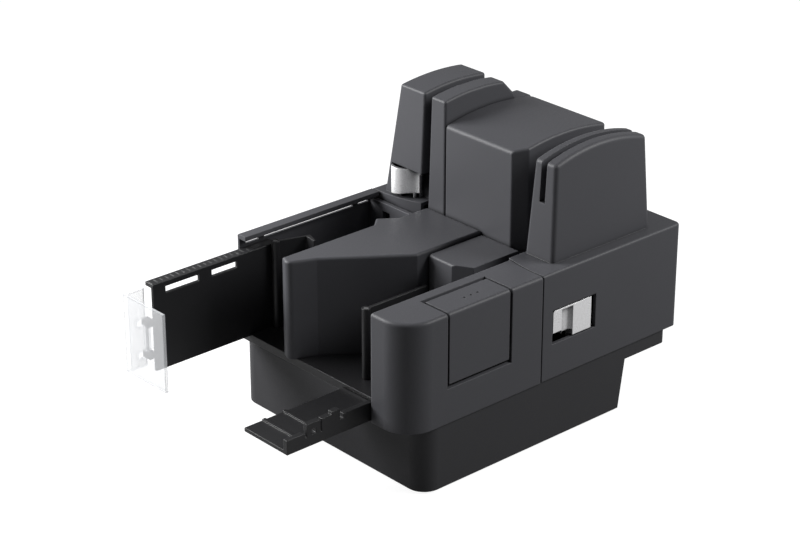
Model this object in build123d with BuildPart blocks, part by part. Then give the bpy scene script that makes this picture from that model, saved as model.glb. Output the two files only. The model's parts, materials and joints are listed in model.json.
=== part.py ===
from build123d import *
import os
from math import sqrt

# Desktop cheque scanner, in millimetres.
# +Z is up, -Y is the front (the two document trays), +X is the side with the long latch.
# The origin is on the desk, under the middle of the base.

# ---- overall sizes ----
body_width = 175.0            # across the upper housing
base_length = 170.0           # base, front to back, where it meets the desk
base_inset = 1.0              # base side wall inside the upper housing
base_rake = 5.0               # the base's back wall leans out this far
shelf_height = 35.0           # underside of the shelf at the back of the base
shelf_reach = 43.0            # shelf, back from the foot of the base
seam_height = 44.5            # base below, upper housing above
deck_height = 117.0           # flat top of the upper housing
housing_reach = 52.0          # upper housing, back from the foot of the base
nose_reach = 14.0             # feed block, forward of the base
shell_ground_gap = 1.5        # desk to the underside of the base
wall = 2.5
panel_wall = 2.0              # inner guides and light covers
corner_radius = 12.0          # base corners at the front
shelf_corner = 4.0            # base corners at the end of the shelf
nose_radius = 20.0            # feed block's outer front corner
soft_edge = 2.4               # rounded top edges
shell_gap = 1.0               # visible gap between two shells
touch_gap = 0.3               # clearance between pieces that move past each other
fit_gap = 0.05                # radial clearance of a shaft or pin in its hole
cut_past = 1.0                # how far a cut runs past the face it starts from

half_width = body_width / 2
base_front = -base_length / 2
base_back = base_length / 2
housing_back = base_back + housing_reach
block_front = base_front - nose_reach
inner_half = half_width - base_inset - wall
base_half = half_width - base_inset

# ---- document path, seen from above: back on the right, round the rear, forward on the left ----
lane_right_inset = 38.7       # right leg, in from the side of the housing
lane_left_inset = 45.7        # left leg, in from the side of the housing
lane_rear_setback = 14.0      # rear leg, forward of the back of the housing
lane_gap = 5.0
lane_bend = 25.0              # bend radius of the centre line
floor_thickness = 5.5
nip_gap = 0.3                 # drive roller to pinch roller
guide_height = 61.0           # guide walls, up from the floor

lane_right = half_width - lane_right_inset
lane_left = lane_left_inset - half_width
lane_rear = housing_back - lane_rear_setback
floor_top = seam_height + floor_thickness
guide_top = floor_top + guide_height
right_inner = lane_right - lane_gap / 2
right_outer = lane_right + lane_gap / 2
left_inner = lane_left + lane_gap / 2
left_outer = lane_left - lane_gap / 2
rear_inner = lane_rear - lane_gap / 2
rear_outer = lane_rear + lane_gap / 2

# ---- chassis and base contents ----
chassis_thickness = 2.0
base_floor = 3.0
chassis_margin = 0.5
foot_radius = 8.0
foot_recess = 1.0
foot_margin = 22.0
post_radius = 5.0
post_margin = 10.0
screw_radius = 1.5
screw_head_radius = 3.0
screw_head_height = 1.8
bush_radius = 4.5

chassis_top = seam_height
chassis_bottom = chassis_top - chassis_thickness
floor_level = shell_ground_gap + base_floor
chassis_half = inner_half - chassis_margin
chassis_front = base_front + wall + chassis_margin
chassis_back = base_back + shelf_reach - wall - chassis_margin
screw_seat = shell_ground_gap + touch_gap + screw_head_height
foot_places = tuple(
    (side * (base_half - foot_margin), y)
    for side in (-1, 1)
    for y in (base_front + foot_margin, base_back - foot_margin)
)
post_places = tuple(
    (side * (base_half - post_margin), y)
    for side in (-1, 1)
    for y in (base_front + post_margin, base_back - post_margin)
)

# ---- cover hinges and the seams in front of the covers ----
hinge_inset = 6.0             # hinge axis in from the side of the housing
hinge_setback = 8.0           # hinge axis forward of the back of the housing
right_seam_reach = 115.8      # right cover's front edge, forward of its hinge
left_seam_reach = 101.0       # left cover's front edge, forward of its hinge
hinge_pin_radius = 1.8
bracket_thickness = 2.0
bracket_half = 3.0
bracket_length = 22.0
lug_height = 4.0
lug_inner = 5.5               # lug, from the hinge axis toward the middle of the scanner
lug_front = 5.0
lug_low = 3.5                 # lower hinge lug above the base seam
lug_drop = 13.0               # upper hinge lug below the deck
cover_ground_gap = 0.4        # base rim to the underside of a cover
seal_gap = 0.2                # guide plate to the cover that carries it
cover_corner = 4.0
rear_housing_reach = 39.0     # fixed rear housing, forward of the back of the housing
box_step = 5.0                # centre box, behind the left seam
split_step = 1.5
overhang_gap = 0.4            # left tower above the fixed parts it swings over

cover_bottom = seam_height + cover_ground_gap
roof = deck_height - wall
side_wall = half_width - wall
back_wall = housing_back - wall
rear_split = housing_back - rear_housing_reach
right_cover_inner = right_outer + panel_wall + seal_gap
left_cover_inner = left_outer - panel_wall - seal_gap
hinge_x = half_width - hinge_inset
hinge_y = housing_back - hinge_setback
lug_levels = (seam_height + lug_low, deck_height - lug_drop)
hinge_pin_top = deck_height - lug_drop + lug_height
right_seam_front = hinge_y - right_seam_reach
left_seam_front = hinge_y - left_seam_reach
block_seam_radius = right_seam_reach + shell_gap
pocket_seam_radius = left_seam_reach + shell_gap
seam_front_y = hinge_y - block_seam_radius
right_guide_front = hinge_y - sqrt(right_seam_reach**2 - (hinge_x - right_outer)**2) + shell_gap
left_guide_front = hinge_y - sqrt(left_seam_reach**2 - (hinge_x + left_outer)**2) + shell_gap
rough_back = max(right_guide_front, left_guide_front)
box_front = left_seam_front + box_step

# ---- feed block and its flap ----
block_width = 33.0
flap_setback = 20.5           # flap, back from the front of the base
flap_length = 49.5
flap_bottom_drop = 46.7       # flap's lower edge below the deck
flap_wrap = 21.4              # how far the flap reaches over the top
flap_side_gap = 1.8
flap_finger_gap = 3.2
flap_face_inset = 0.4         # flap face inside the block's face
flap_axis_inset = 3.5
flap_axis_lift = 2.7
flap_barrel_radius = 2.2
flap_pin_radius = 1.0
flap_lug = 3.0
flap_scoop_radius = 5.4       # hollow in the block's side under the flap
dot_count = 3
dot_radius = 0.9
dot_depth = 0.4
dot_pitch = 5.5
dot_setback = 17.0            # last dot, forward of the flap's back edge
dot_inset = 11.0

block_inner = half_width - block_width
block_floor = seam_height + wall
flap_front = base_front + flap_setback
flap_back = flap_front + flap_length
flap_bottom = deck_height - flap_bottom_drop
flap_face = half_width - flap_face_inset
flap_axis_x = half_width - flap_axis_inset
flap_axis_z = flap_bottom + flap_axis_lift
flap_edge_x = half_width - flap_wrap
flap_middle_y = (flap_front + flap_back) / 2
flap_pin_length = flap_length + 2 * (flap_side_gap + flap_lug)
dot_first_y = flap_back - dot_setback - (dot_count - 1) * dot_pitch

# ---- feed rollers ----
feed_setback = 14.7           # feed roller, forward of the right seam
feed_radius = 12.0
pickup_pitch = 37.0           # pickup roller, forward of the feed roller
pickup_radius = 9.0
pickup_proud = 1.2
separation_radius = 10.0
feed_tyre_lift = 6.0          # feed tyres, up from the tray floor
feed_tyre_width = 14.0
feed_shaft_radius = 2.5
feed_pulley_radius = 6.0
belt_thickness = 1.2
feed_bearing_lift = 4.0       # bearing plate above the tyres
feed_bearing_thickness = 2.0
bearing_reach = 10.0
feed_motor_radius = 14.0
motor_gap = 1.1               # motors below the belts
shaft_grip = 12.0             # roller shaft reaching down into its motor

feed_y = right_seam_front - feed_setback
pickup_y = feed_y - pickup_pitch
feed_x = lane_right + nip_gap / 2 + feed_radius
pickup_x = block_inner - pickup_proud + pickup_radius
separation_x = lane_right - nip_gap / 2 - separation_radius
feed_tyre_low = floor_top + feed_tyre_lift
feed_tyre_top = feed_tyre_low + feed_tyre_width
feed_bearing_low = feed_tyre_top + feed_bearing_lift
feed_bearing_top = feed_bearing_low + feed_bearing_thickness

# ---- transport rollers ----
drive_radius = 10.0
drive_shaft_radius = 2.5
pinch_radius = 5.0
pinch_shaft_radius = 1.5
tyre_width = 12.0
tyre_lift_low = 8.0           # lower tyres, up from the tray floor
tyre_lift_high = 42.0         # upper tyres, up from the tray floor
drive_pulley_radius = 8.0
belt_drop = 0.4               # belts below the chassis plate
belt_width = 4.0
entry_roller_step = 7.0       # first roller pair, behind the front of the centre box
bend_roller_setback = 53.0    # second roller pair
exit_roller_setback = 77.0    # last roller pair
window_margin = 1.0
bearing_plate_thickness = 2.0
rear_side = 1.9               # rear housing outside the lane, each side
rear_rise = 33.0              # rear housing above the deck
pinch_grip = 2.5              # pinch shaft held in each lug
pinch_lug_half = 6.5
pinch_lift = 4.0              # pinch shafts, up from the tray floor
pinch_drop = 9.0              # pinch shafts, below the deck
guide_lug_reach = 8.0
transport_motor_radius = 16.0

belt_low = chassis_bottom - belt_drop - belt_width
motor_top = belt_low - motor_gap
tyre_low = floor_top + tyre_lift_low
tyre_high = floor_top + tyre_lift_high
entry_roller_y = box_front + entry_roller_step
bend_roller_y = housing_back - bend_roller_setback
exit_roller_y = housing_back - exit_roller_setback
rear_roller_x = (lane_left + lane_right) / 2
bearing_plate_low = guide_top - bearing_plate_thickness
rear_top = deck_height + rear_rise
pinch_low = floor_top + pinch_lift
pinch_high = deck_height - pinch_drop
drive_places = (
    (lane_right - nip_gap / 2 - drive_radius, entry_roller_y),
    (lane_right - nip_gap / 2 - drive_radius, bend_roller_y),
    (rear_roller_x, lane_rear - nip_gap / 2 - drive_radius),
    (lane_left + nip_gap / 2 + drive_radius, exit_roller_y),
)
pinch_places = (
    (lane_right + nip_gap / 2 + pinch_radius, entry_roller_y),
    (lane_right + nip_gap / 2 + pinch_radius, bend_roller_y),
    (rear_roller_x, lane_rear + nip_gap / 2 + pinch_radius),
    (lane_left - nip_gap / 2 - pinch_radius, exit_roller_y),
)
tyre_levels = (tyre_low, tyre_high)
shaft_places = drive_places + ((feed_x, feed_y), (pickup_x, pickup_y), (separation_x, feed_y))

# ---- centre cover and rib, rises above the deck and reaches forward of the housing's back ----
box_left_inset = 64.8         # centre box, in from the left side of the housing
box_lane_margin = 2.2         # centre box, inside the right lane wall
box_back_reach = 27.0
box_front_rise = 61.2
box_crown_rise = 66.1
box_back_rise = 62.2
box_crown_reach = 65.0
box_chamfer_x = 6.6
box_chamfer_y = 8.6
box_back_radius = 3.0
box_brow_radius = 3.2         # rounding over the box's front edge
cover_edge = 1.8
rib_width = 13.3
rib_front_rise = 76.8
rib_crown_rise = 79.5
rib_back_rise = 78.0
rib_slope_rise = 68.0
rib_foot_rise = 63.0
rib_crown_reach = 82.0
rib_top_reach = 52.5
rib_slope_reach = 43.0
rib_foot_reach = 41.0

box_left = box_left_inset - half_width
box_right = right_inner - box_lane_margin
box_back = housing_back - box_back_reach
box_crown_y = housing_back - box_crown_reach
box_arch = (
    (box_front, deck_height + box_front_rise),
    (box_crown_y, deck_height + box_crown_rise),
    (box_back, deck_height + box_back_rise),
)
box_hollow_top = deck_height + box_front_rise - panel_wall
rib_left = box_left - rib_width
rib_top_back = housing_back - rib_top_reach
rib_arch = (
    (box_front, deck_height + rib_front_rise),
    (housing_back - rib_crown_reach, deck_height + rib_crown_rise),
    (rib_top_back, deck_height + rib_back_rise),
)
rib_foot_top = deck_height + rib_foot_rise
rib_rear = (
    (housing_back - rib_slope_reach, deck_height + rib_slope_rise),
    (housing_back - rib_foot_reach, rib_foot_top),
    (box_back, rib_foot_top),
    (box_back, guide_top),
    (box_front, guide_top),
)

# ---- towers, measured the same way ----
left_slot = 6.5               # between rib and left tower, at the top
tower_l_top_width = 23.0
tower_l_foot_width = 37.0
tower_l_step = 3.8            # left tower, behind the left seam
tower_l_lean = 2.0
tower_l_back_reach = 50.0
tower_l_front_rise = 77.0
tower_l_crown_rise = 79.8
tower_l_back_rise = 78.2
tower_l_crown_reach = 75.0
right_slot = 9.4              # between centre box and right tower, at the deck
tower_r_foot_width = 25.0
tower_r_top_width = 18.0
tower_r_inner_lean = 4.0
tower_r_step = 16.3           # right tower, behind the right seam
tower_r_back_reach = 20.0
tower_r_front_lean = 3.6
tower_r_back_lean = 4.0
tower_r_front_rise = 62.8
tower_r_crown_rise = 68.8
tower_r_back_rise = 62.4
tower_r_crown_reach = 65.0
card_slot_width = 4.6
card_slot_offset = 10.0       # from the tower's inner foot
card_slot_rise = 36.5
card_slot_base = 3.5          # solid plastic under the card slot
reader_front_reach = 69.0
reader_length = 10.0
reader_lift = 2.5             # reader head above the slot's floor
reader_height = 8.0
reader_depth = 4.2
reader_proud = 0.4
tower_edge = 3.0
tower_core_margin = 6.0
tower_core_width = 13.0

tower_l_inner = rib_left - left_slot
tower_l_outer = tower_l_inner - tower_l_top_width
tower_l_front = left_seam_front + tower_l_step
tower_l_back = housing_back - tower_l_back_reach
tower_l_crown = deck_height + tower_l_crown_rise
tower_l_arch = (
    (tower_l_front + tower_l_lean, deck_height + tower_l_front_rise),
    (housing_back - tower_l_crown_reach, tower_l_crown),
    (tower_l_back, deck_height + tower_l_back_rise),
)
tower_r_inner = box_right + right_slot
tower_r_front = right_seam_front + tower_r_step
tower_r_back = housing_back - tower_r_back_reach
tower_r_crown = deck_height + tower_r_crown_rise
tower_r_arch = (
    (tower_r_front + tower_r_front_lean, deck_height + tower_r_front_rise),
    (housing_back - tower_r_crown_reach, tower_r_crown),
    (tower_r_back - tower_r_back_lean, deck_height + tower_r_back_rise),
)
card_slot_x = tower_r_inner + card_slot_offset
card_slot_floor = deck_height + card_slot_rise
card_slot_solid = card_slot_floor - card_slot_base
reader_front = housing_back - reader_front_reach
reader_low = card_slot_floor + reader_lift

# ---- eject pocket on the left ----
pocket_skin = 1.8
rim_width = 8.0
rim_thickness = 3.0
rim_edge = 1.0
slit_drop = 5.0               # slits below the deck
slit_height = 2.7
slit_front_margin = 5.0       # first slit, back from the front of the base
slit_front_length = 10.5
slit_bridge = 4.4             # solid wall between two slits
slit_rear_length = 8.9
slit_rear_margin = 1.2        # last slit, forward of the pocket's back wall
pocket_back_thickness = 3.0
pocket_back_margin = 1.7      # pocket's back wall stops short of the lane
pocket_back_drop = 5.0        # pocket's back wall below the deck

skin_inner = pocket_skin - half_width
slit_top = deck_height - slit_drop
pocket_back_y = left_seam_front - shell_gap
pocket_back_front = pocket_back_y - pocket_back_thickness
pocket_back_right = left_outer - pocket_back_margin
pocket_back_top = deck_height - pocket_back_drop
rear_slit_back = pocket_back_front - slit_rear_margin
rear_slit_front = rear_slit_back - slit_rear_length
front_slit_front = base_front + slit_front_margin
front_slit_back = front_slit_front + slit_front_length
pocket_slits = (
    (front_slit_front, front_slit_back),
    (front_slit_back + slit_bridge, rear_slit_front - slit_bridge),
    (rear_slit_front, rear_slit_back),
)

# ---- tray floor, divider and separation cover ----
hopper_width = 42.5           # between the divider and the feed block
divider_left_inset = 46.5     # divider's left side, in from the left side of the housing
divider_tip_reach = 5.2       # divider's tip, forward of the base
divider_tip_x = 8.3           # the same tip, in from the divider's left side
divider_corner = 1.5          # divider's front left corner, forward of the base
divider_slant_x = 16.0        # where the tip's slant ends, in from the divider's left side
divider_slant_y = 13.0        # and back from the front of the base
divider_nib_width = 7.0       # nib on the pocket side
divider_nib_lead = 8.0        # length of the nib's front slant
divider_nib_tail = 12.0       # length of the nib's rear slant
divider_nib_reach = 36.5      # nib's tip, forward of the centre box
hopper_bend_reach = 55.0      # where the divider reaches its full width, forward of the centre box
divider_nose = 4.0
separation_lead = 12.0        # separation cover, forward of the feed roller
separation_gap = 1.5          # separation cover to the divider
separation_bevel_x = 12.3
separation_bevel_y = 7.0
separation_drop = 2.2         # separation cover below the deck

tray_left = skin_inner + touch_gap
floor_left = left_cover_inner + touch_gap
floor_right = right_cover_inner - touch_gap
floor_back = rear_outer - touch_gap
floor_step_y = seam_front_y + panel_wall
hopper_left = block_inner - hopper_width
divider_left = divider_left_inset - half_width
nib_y = box_front - divider_nib_reach
divider_plan = (
    (divider_left, base_front - divider_corner),
    (divider_left + divider_tip_x, base_front - divider_tip_reach),
    (divider_left + divider_slant_x, base_front + divider_slant_y),
    (hopper_left, box_front - hopper_bend_reach),
    (hopper_left, box_front),
    (left_inner, box_front),
    (left_inner, nib_y + divider_nib_tail),
    (divider_left - divider_nib_width, nib_y),
    (divider_left, nib_y - divider_nib_lead),
)
separation_left = hopper_left + separation_gap
separation_front = feed_y - separation_lead
separation_top = deck_height - separation_drop
separation_plan = (
    (separation_left, separation_front),
    (right_inner - separation_bevel_x, separation_front),
    (right_inner, separation_front + separation_bevel_y),
    (right_inner, box_front),
    (separation_left, box_front),
)

# ---- feed tray extension ----
channel_height = 3.1
arm_length = 102.0
arm_reach = 77.5              # arm, forward of the base
arm_width = 40.0
arm_side_gap = 0.4            # arm beside the feed block
arm_travel = 45.0
arm_stop_gap = 7.0            # channel left behind the arm when it is pushed in
arm_thickness = 2.4
arm_step_height = 1.0
arm_step_offset = 13.5        # first cross step, back from the arm's front
arm_step_pitch = 16.0
rail_width = 3.5
rail_stop_gap = 5.0
rail_nose_length = 14.0
rail_nose_height = 9.5
rail_height = 14.7
rail_groove = 1.3             # two narrow cuts across the rail
rail_groove_lift = 4.0
rail_clip_length = 11.5       # from one cut to the next
rail_window_length = 4.0
rail_window_height = 3.5
rail_window_lift = 7.2
rail_hump_offset = 34.5       # hump on the rail, back from the arm's front
rail_hump_length = 6.0
rail_hump_height = 1.8
rail_notch_length = 3.0
rail_notch_height = 9.2
rail_tail_height = 12.2
rail_length = 65.5

arm_right = block_inner - arm_side_gap
arm_left = arm_right - arm_width
arm_front = base_front - arm_reach
arm_back = arm_front + arm_length
arm_low = seam_height + touch_gap
arm_channel_back = arm_back + arm_travel + arm_stop_gap
arm_steps = (arm_front + arm_step_offset, arm_front + arm_step_offset + arm_step_pitch)
rail_back = arm_front + rail_length
rail_slot_back = rail_back + arm_travel + rail_stop_gap
rail_nose_back = arm_front + rail_nose_length
rail_hump_front = arm_front + rail_hump_offset
rail_hump_back = rail_hump_front + rail_hump_length
rail_notch_back = rail_hump_back + rail_notch_length
rail_grooves = (rail_nose_back, rail_nose_back + rail_clip_length)
rail_window_front = rail_nose_back + (rail_groove + rail_clip_length - rail_window_length) / 2
rail_profile = (
    (arm_front, arm_low),
    (arm_front, arm_low + rail_nose_height),
    (rail_nose_back, arm_low + rail_nose_height),
    (rail_nose_back, arm_low + rail_height),
    (rail_hump_front, arm_low + rail_height),
    (rail_hump_front, arm_low + rail_height + rail_hump_height),
    (rail_hump_back, arm_low + rail_height + rail_hump_height),
    (rail_hump_back, arm_low + rail_notch_height),
    (rail_notch_back, arm_low + rail_notch_height),
    (rail_notch_back, arm_low + rail_tail_height),
    (rail_back, arm_low + rail_tail_height),
    (rail_back, arm_low),
)

# ---- eject tray extension and its clear stopper ----
plate_inset = 10.0            # extension's inner face, in from the side of the housing
plate_thickness = 2.0
plate_reach = 74.0            # extension, forward of the base
plate_length = 97.0
plate_travel = 60.0
plate_stop_gap = 1.0
plate_flange_width = 7.8
plate_flange_thickness = 2.5
plate_drop = 9.5              # extension's top below the deck
groove_depth = 1.5
plate_slit_height = 4.4
plate_slit_drop = 3.5         # slits below the extension's top
plate_slit_margin = 9.5
plate_slit_length = 26.0
plate_slit_bridge = 9.7
plate_slit_rear_length = 20.1
stopper_width = 38.0
stopper_reach = 15.0
stopper_drop = 12.5           # stopper's top below the deck
stopper_lift = 2.0            # stopper's foot above the tray floor
clear_thickness = 2.0
stopper_offset = 5.0          # stopper's hinge, outside the extension's inner face
stopper_lead = 2.5            # stopper's hinge, forward of the extension
stopper_barrel_radius = 2.2
stopper_pin_radius = 1.0
stopper_lug = 4.0
stopper_lug_lift = 8.0        # lower hinge lug, above the tray floor
stopper_lug_pitch = 22.0

plate_inner = plate_inset - half_width
plate_front = base_front - plate_reach
plate_back = plate_front + plate_length
plate_top = deck_height - plate_drop
plate_slit_top = plate_top - plate_slit_drop
groove_back = plate_back + plate_travel + plate_stop_gap
plate_slit_front = plate_front + plate_slit_margin
plate_slit_rear = plate_slit_front + plate_slit_length + plate_slit_bridge
plate_slits = (
    (plate_slit_front, plate_slit_front + plate_slit_length),
    (plate_slit_rear, plate_slit_rear + plate_slit_rear_length),
)
stopper_x = plate_inner - stopper_offset
stopper_y = plate_front - stopper_lead
stopper_top = deck_height - stopper_drop
stopper_bottom = floor_top + stopper_lift
stopper_lug_low = floor_top + stopper_lug_lift
stopper_lug_levels = (stopper_lug_low, stopper_lug_low + stopper_lug_pitch)
stopper_notch = stopper_offset + stopper_barrel_radius

# ---- pressure plate and pocket flap ----
pusher_setback = 15.0         # pressure plate's pivot, back from the front of the base
pusher_margin = 6.5           # pressure plate's pivot, clear of the divider
pusher_gap = 7.0              # pressure plate's end, forward of the separation cover
pusher_thickness = 2.0
pusher_height = 48.0
pivot_radius = 1.5
pivot_barrel_radius = 2.8
pivot_depth = 1.5
flap_pivot_setback = 20.0     # pocket flap's pivot, back from the front of the base
flap_fold = (7.8, 22.0)       # from the pivot to the fold
flap_tip = (16.9, 19.0)       # from the pivot to the tip
pocket_flap_height = 60.5
pocket_flap_thickness = 1.6

pusher_pivot = (hopper_left + pusher_margin, base_front + pusher_setback)
pusher_back = separation_front - pusher_gap
pocket_flap_pivot = (plate_inner + pivot_barrel_radius + touch_gap, base_front + flap_pivot_setback)

# ---- latches ----
latch_setback = 9.3           # right latch, back from the right seam
latch_length = 33.5
latch_drop = 48.0             # right latch's lower edge below the deck
latch_height = 21.5
latch_depth = 6.5
latch_travel = 3.0
latch_face_inset = 0.3
latch_window_gap = 0.8
latch_lip_length = 7.5
latch_lip_lift = 6.3          # lip stops short of the latch's lower edge
latch_grip_length = 9.9
latch_grip_lift = 3.8         # grip stops short of it too
latch_grip_depth = 3.5
latch_rim = 1.2               # closed strip over the grip
latch_corner = 1.5
latch_flange = 3.5
latch_hook_lift = 9.0         # hook above the latch's lower edge
latch_hook_height = 8.0
latch_hook_width = 3.5
latch_hook_inset = 8.0

latch_front = right_seam_front + latch_setback
latch_back = latch_front + latch_length
latch_low = deck_height - latch_drop
latch_top = latch_low + latch_height
latch_face = half_width - latch_face_inset
latch_grip_front = latch_front + latch_lip_length
latch_grip_radius = (latch_grip_length**2 / 4 + latch_grip_depth**2) / (2 * latch_grip_depth)
hook_x = half_width - latch_hook_inset
hook_low = latch_low + latch_hook_lift

lever_outer_lift = 1.8        # lever's lower edge above the deck, outer end
lever_inner_lift = 6.0        # and inner end
lever_rise = 21.0             # lever's upper edge above the deck
lever_thickness = 2.2
lever_outer_offset = 28.5     # lever's points, out from the tower's inner side
lever_bulge_offset = 25.0
lever_shoulder_offset = 19.5
lever_valley_offset = 12.0
lever_inner_offset = 1.5
lever_outer_proud = 1.6       # and forward of the tower's foot
lever_bulge_proud = 3.6
lever_shoulder_proud = 2.6
lever_valley_depth = 3.9      # or behind it
lever_inner_proud = 1.4
lever_pin_radius = 1.2
lever_boss_radius = 2.6
lever_boss_step = 2.7         # pivot, behind the valley
lever_boss_shift = 2.5        # pivot, outward of the valley
lever_recess = 4.5            # recess in the tower, behind the pivot
lever_gap = 0.4
lever_side_gap = 1.8
hook_arm_width = 6.0
hook_arm_offset = 27.5        # hook arm, out from the tower's inner side
hook_arm_depth = 1.0          # hook arm, behind the tower's foot
hook_arm_thickness = 3.0
hook_arm_rise = 11.0          # hook arm's upper end above the deck
hook_arm_drop = 17.0          # hook arm's lower end below the deck
hook_tip_width = 4.0
hook_tip_height = 6.0
hook_arm_slack = 2.6          # room for the arm's swing

lever_outer = tower_l_inner - lever_outer_offset
lever_inner = tower_l_inner - lever_inner_offset
lever_low = deck_height + lever_outer_lift
lever_top = deck_height + lever_rise
lever_valley = (tower_l_inner - lever_valley_offset, tower_l_front + lever_valley_depth)
lever_wave = (
    (lever_outer, tower_l_front - lever_outer_proud),
    (tower_l_inner - lever_bulge_offset, tower_l_front - lever_bulge_proud),
    (tower_l_inner - lever_shoulder_offset, tower_l_front - lever_shoulder_proud),
    lever_valley,
    (lever_inner, tower_l_front - lever_inner_proud),
)
lever_rear_wave = tuple((x, y + lever_thickness) for x, y in lever_wave)
lever_pivot = (lever_valley[0] - lever_boss_shift, lever_valley[1] + lever_boss_step)
lever_recess_back = lever_pivot[1] + lever_recess
hook_arm_left = tower_l_inner - hook_arm_offset
hook_arm_right = hook_arm_left + hook_arm_width
hook_arm_front = tower_l_front + hook_arm_depth
hook_arm_back = hook_arm_front + hook_arm_thickness
hook_arm_low = deck_height - hook_arm_drop
hook_arm_top = deck_height + hook_arm_rise

# ---- sensors, boards and sockets ----
sensor_setback = 75.0         # image sensors, forward of the back of the housing
sensor_length = 14.0
sensor_depth = 11.0
sensor_height = 54.0
sensor_flange = 3.0
glass_thickness = 1.0
head_size = 10.0
head_setback = 47.0
head_height = 12.0
head_proud = 0.15
cartridge_margin = 6.25       # cartridge body, out from the lane
cartridge_setback = 59.0
cartridge_length = 18.0
cartridge_lift = 10.0
cartridge_height = 45.0
cartridge_width = 25.0
nozzle_offset = 10.0          # nozzle, back from the cartridge's front
nozzle_lift = 4.0
nozzle_size = 5.0
board_thickness = 1.6
board_lift = 8.0
board_left_inset = 17.5
board_width = 62.0
board_length = 99.0
board_setback = 6.0           # board, forward of the base's back
board_margin = 5.0
standoff_radius = 3.0
chip_half = 8.0
chip_places = ((20.0, 20.0), (45.0, 30.0), (30.0, 60.0))    # from the board's front left corner
socket_length = 20.0
socket_wall = 0.6
socket_proud = 1.0
usb_tongue = 5.0
usb_offset = 32.0             # from the board's left side
usb_width = 12.0
usb_height = 11.0
inlet_offset = 8.0            # from the board's left side
inlet_radius = 4.5
inlet_bore_radius = 3.2
inlet_pin_radius = 1.0
inlet_bore_depth = 9.0
inlet_nose = 6.0

sensor_y = housing_back - sensor_setback
sensor_top = floor_top + sensor_height
head_y = housing_back - head_setback
cartridge_right = left_outer - cartridge_margin
cartridge_front = housing_back - cartridge_setback
cartridge_back = cartridge_front + cartridge_length
cartridge_low = floor_top + cartridge_lift
nozzle_y = cartridge_front + nozzle_offset
nozzle_z = cartridge_low + nozzle_lift
board_left = board_left_inset - half_width
board_right = board_left + board_width
board_back = base_back - board_setback
board_front = board_back - board_length
board_low = floor_level + board_lift
board_top = board_low + board_thickness
socket_back = base_back + socket_proud
socket_front = socket_back - socket_length
usb_x = board_left + usb_offset
inlet_x = board_left + inlet_offset
inlet_z = board_top + inlet_radius


def block(x_low, x_high, y_low, y_high, z_low, z_high, mode=Mode.ADD):
    """A box between two corners, added to or cut from the piece being built."""
    centre = ((x_low + x_high) / 2, (y_low + y_high) / 2, (z_low + z_high) / 2)
    with Locations(centre):
        Box(x_high - x_low, y_high - y_low, z_high - z_low, mode=mode)


def post(x, y, z_low, z_high, radius, mode=Mode.ADD):
    """An upright round bar or hole."""
    with Locations((x, y, (z_low + z_high) / 2)):
        Cylinder(radius, z_high - z_low, mode=mode)


pieces = {}


def finish(label, builder):
    builder.part.label = label
    pieces[label] = builder.part


# ======== base ========
def base_outline(inset):
    """Side view of the base: front wall, raked back wall and the shelf behind it."""
    front = base_front + inset
    foot = base_back - inset
    shelf_end = base_back + shelf_reach - inset
    return (
        (front, shell_ground_gap),
        (foot, shell_ground_gap),
        (foot + base_rake, shelf_height + inset),
        (shelf_end, shelf_height + inset),
        (shelf_end, seam_height),
        (front, seam_height),
    )


with BuildPart() as base_core:
    with BuildSketch(Plane.YZ.offset(-inner_half)):
        Polygon(*base_outline(wall), align=None)
    extrude(amount=2 * inner_half)
    upright = base_core.edges().filter_by(Axis.Z).group_by(Axis.Y)
    fillet(upright[0], corner_radius - wall)
    fillet(upright[-1], shelf_corner - wall)
    block(-half_width, half_width, base_front, housing_back, 0, floor_level, mode=Mode.SUBTRACT)

with BuildPart() as base_shell:
    with BuildSketch(Plane.YZ.offset(-base_half)):
        Polygon(*base_outline(0), align=None)
    extrude(amount=2 * base_half)
    upright = base_shell.edges().filter_by(Axis.Z).group_by(Axis.Y)
    fillet(upright[0], corner_radius)
    fillet(upright[-1], shelf_corner)
    add(base_core.part, mode=Mode.SUBTRACT)
    for x, y in post_places:
        post(x, y, floor_level, chassis_bottom, post_radius)
        post(x, y, 0, chassis_bottom, screw_radius + fit_gap, mode=Mode.SUBTRACT)
        post(x, y, 0, screw_seat, screw_head_radius + touch_gap, mode=Mode.SUBTRACT)
    for x, y in foot_places:
        post(x, y, 0, shell_ground_gap + foot_recess, foot_radius + fit_gap, mode=Mode.SUBTRACT)
    for x in (board_left + board_margin, board_right - board_margin):
        for y in (board_front + board_margin, board_back - board_margin):
            post(x, y, floor_level, board_low, standoff_radius)
    block(usb_x - usb_width / 2 - touch_gap, usb_x + usb_width / 2 + touch_gap, socket_front,
          base_back + 2 * base_rake, board_top, board_top + usb_height + touch_gap, mode=Mode.SUBTRACT)
    with Locations((inlet_x, base_back, inlet_z)):
        Cylinder(inlet_radius + touch_gap, 4 * base_rake, rotation=(90, 0, 0), mode=Mode.SUBTRACT)
finish("base_shell", base_shell)

with BuildPart() as rubber_feet:
    for x, y in foot_places:
        post(x, y, 0, shell_ground_gap + foot_recess, foot_radius)
finish("rubber_feet", rubber_feet)

with BuildPart() as chassis_plate:
    with BuildSketch(Plane.XY.offset(chassis_bottom)):
        with Locations((0, (chassis_front + chassis_back) / 2)):
            RectangleRounded(2 * chassis_half, chassis_back - chassis_front, corner_radius - wall)
        with Locations(*shaft_places):
            Circle(bush_radius, mode=Mode.SUBTRACT)
        with Locations(*post_places):
            Circle(screw_radius + fit_gap, mode=Mode.SUBTRACT)
    extrude(amount=chassis_thickness)
finish("chassis_plate", chassis_plate)

with BuildPart() as chassis_screws:
    for x, y in post_places:
        post(x, y, screw_seat - screw_head_height, screw_seat, screw_head_radius)
        post(x, y, screw_seat, chassis_top, screw_radius)
finish("chassis_screws", chassis_screws)

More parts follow.
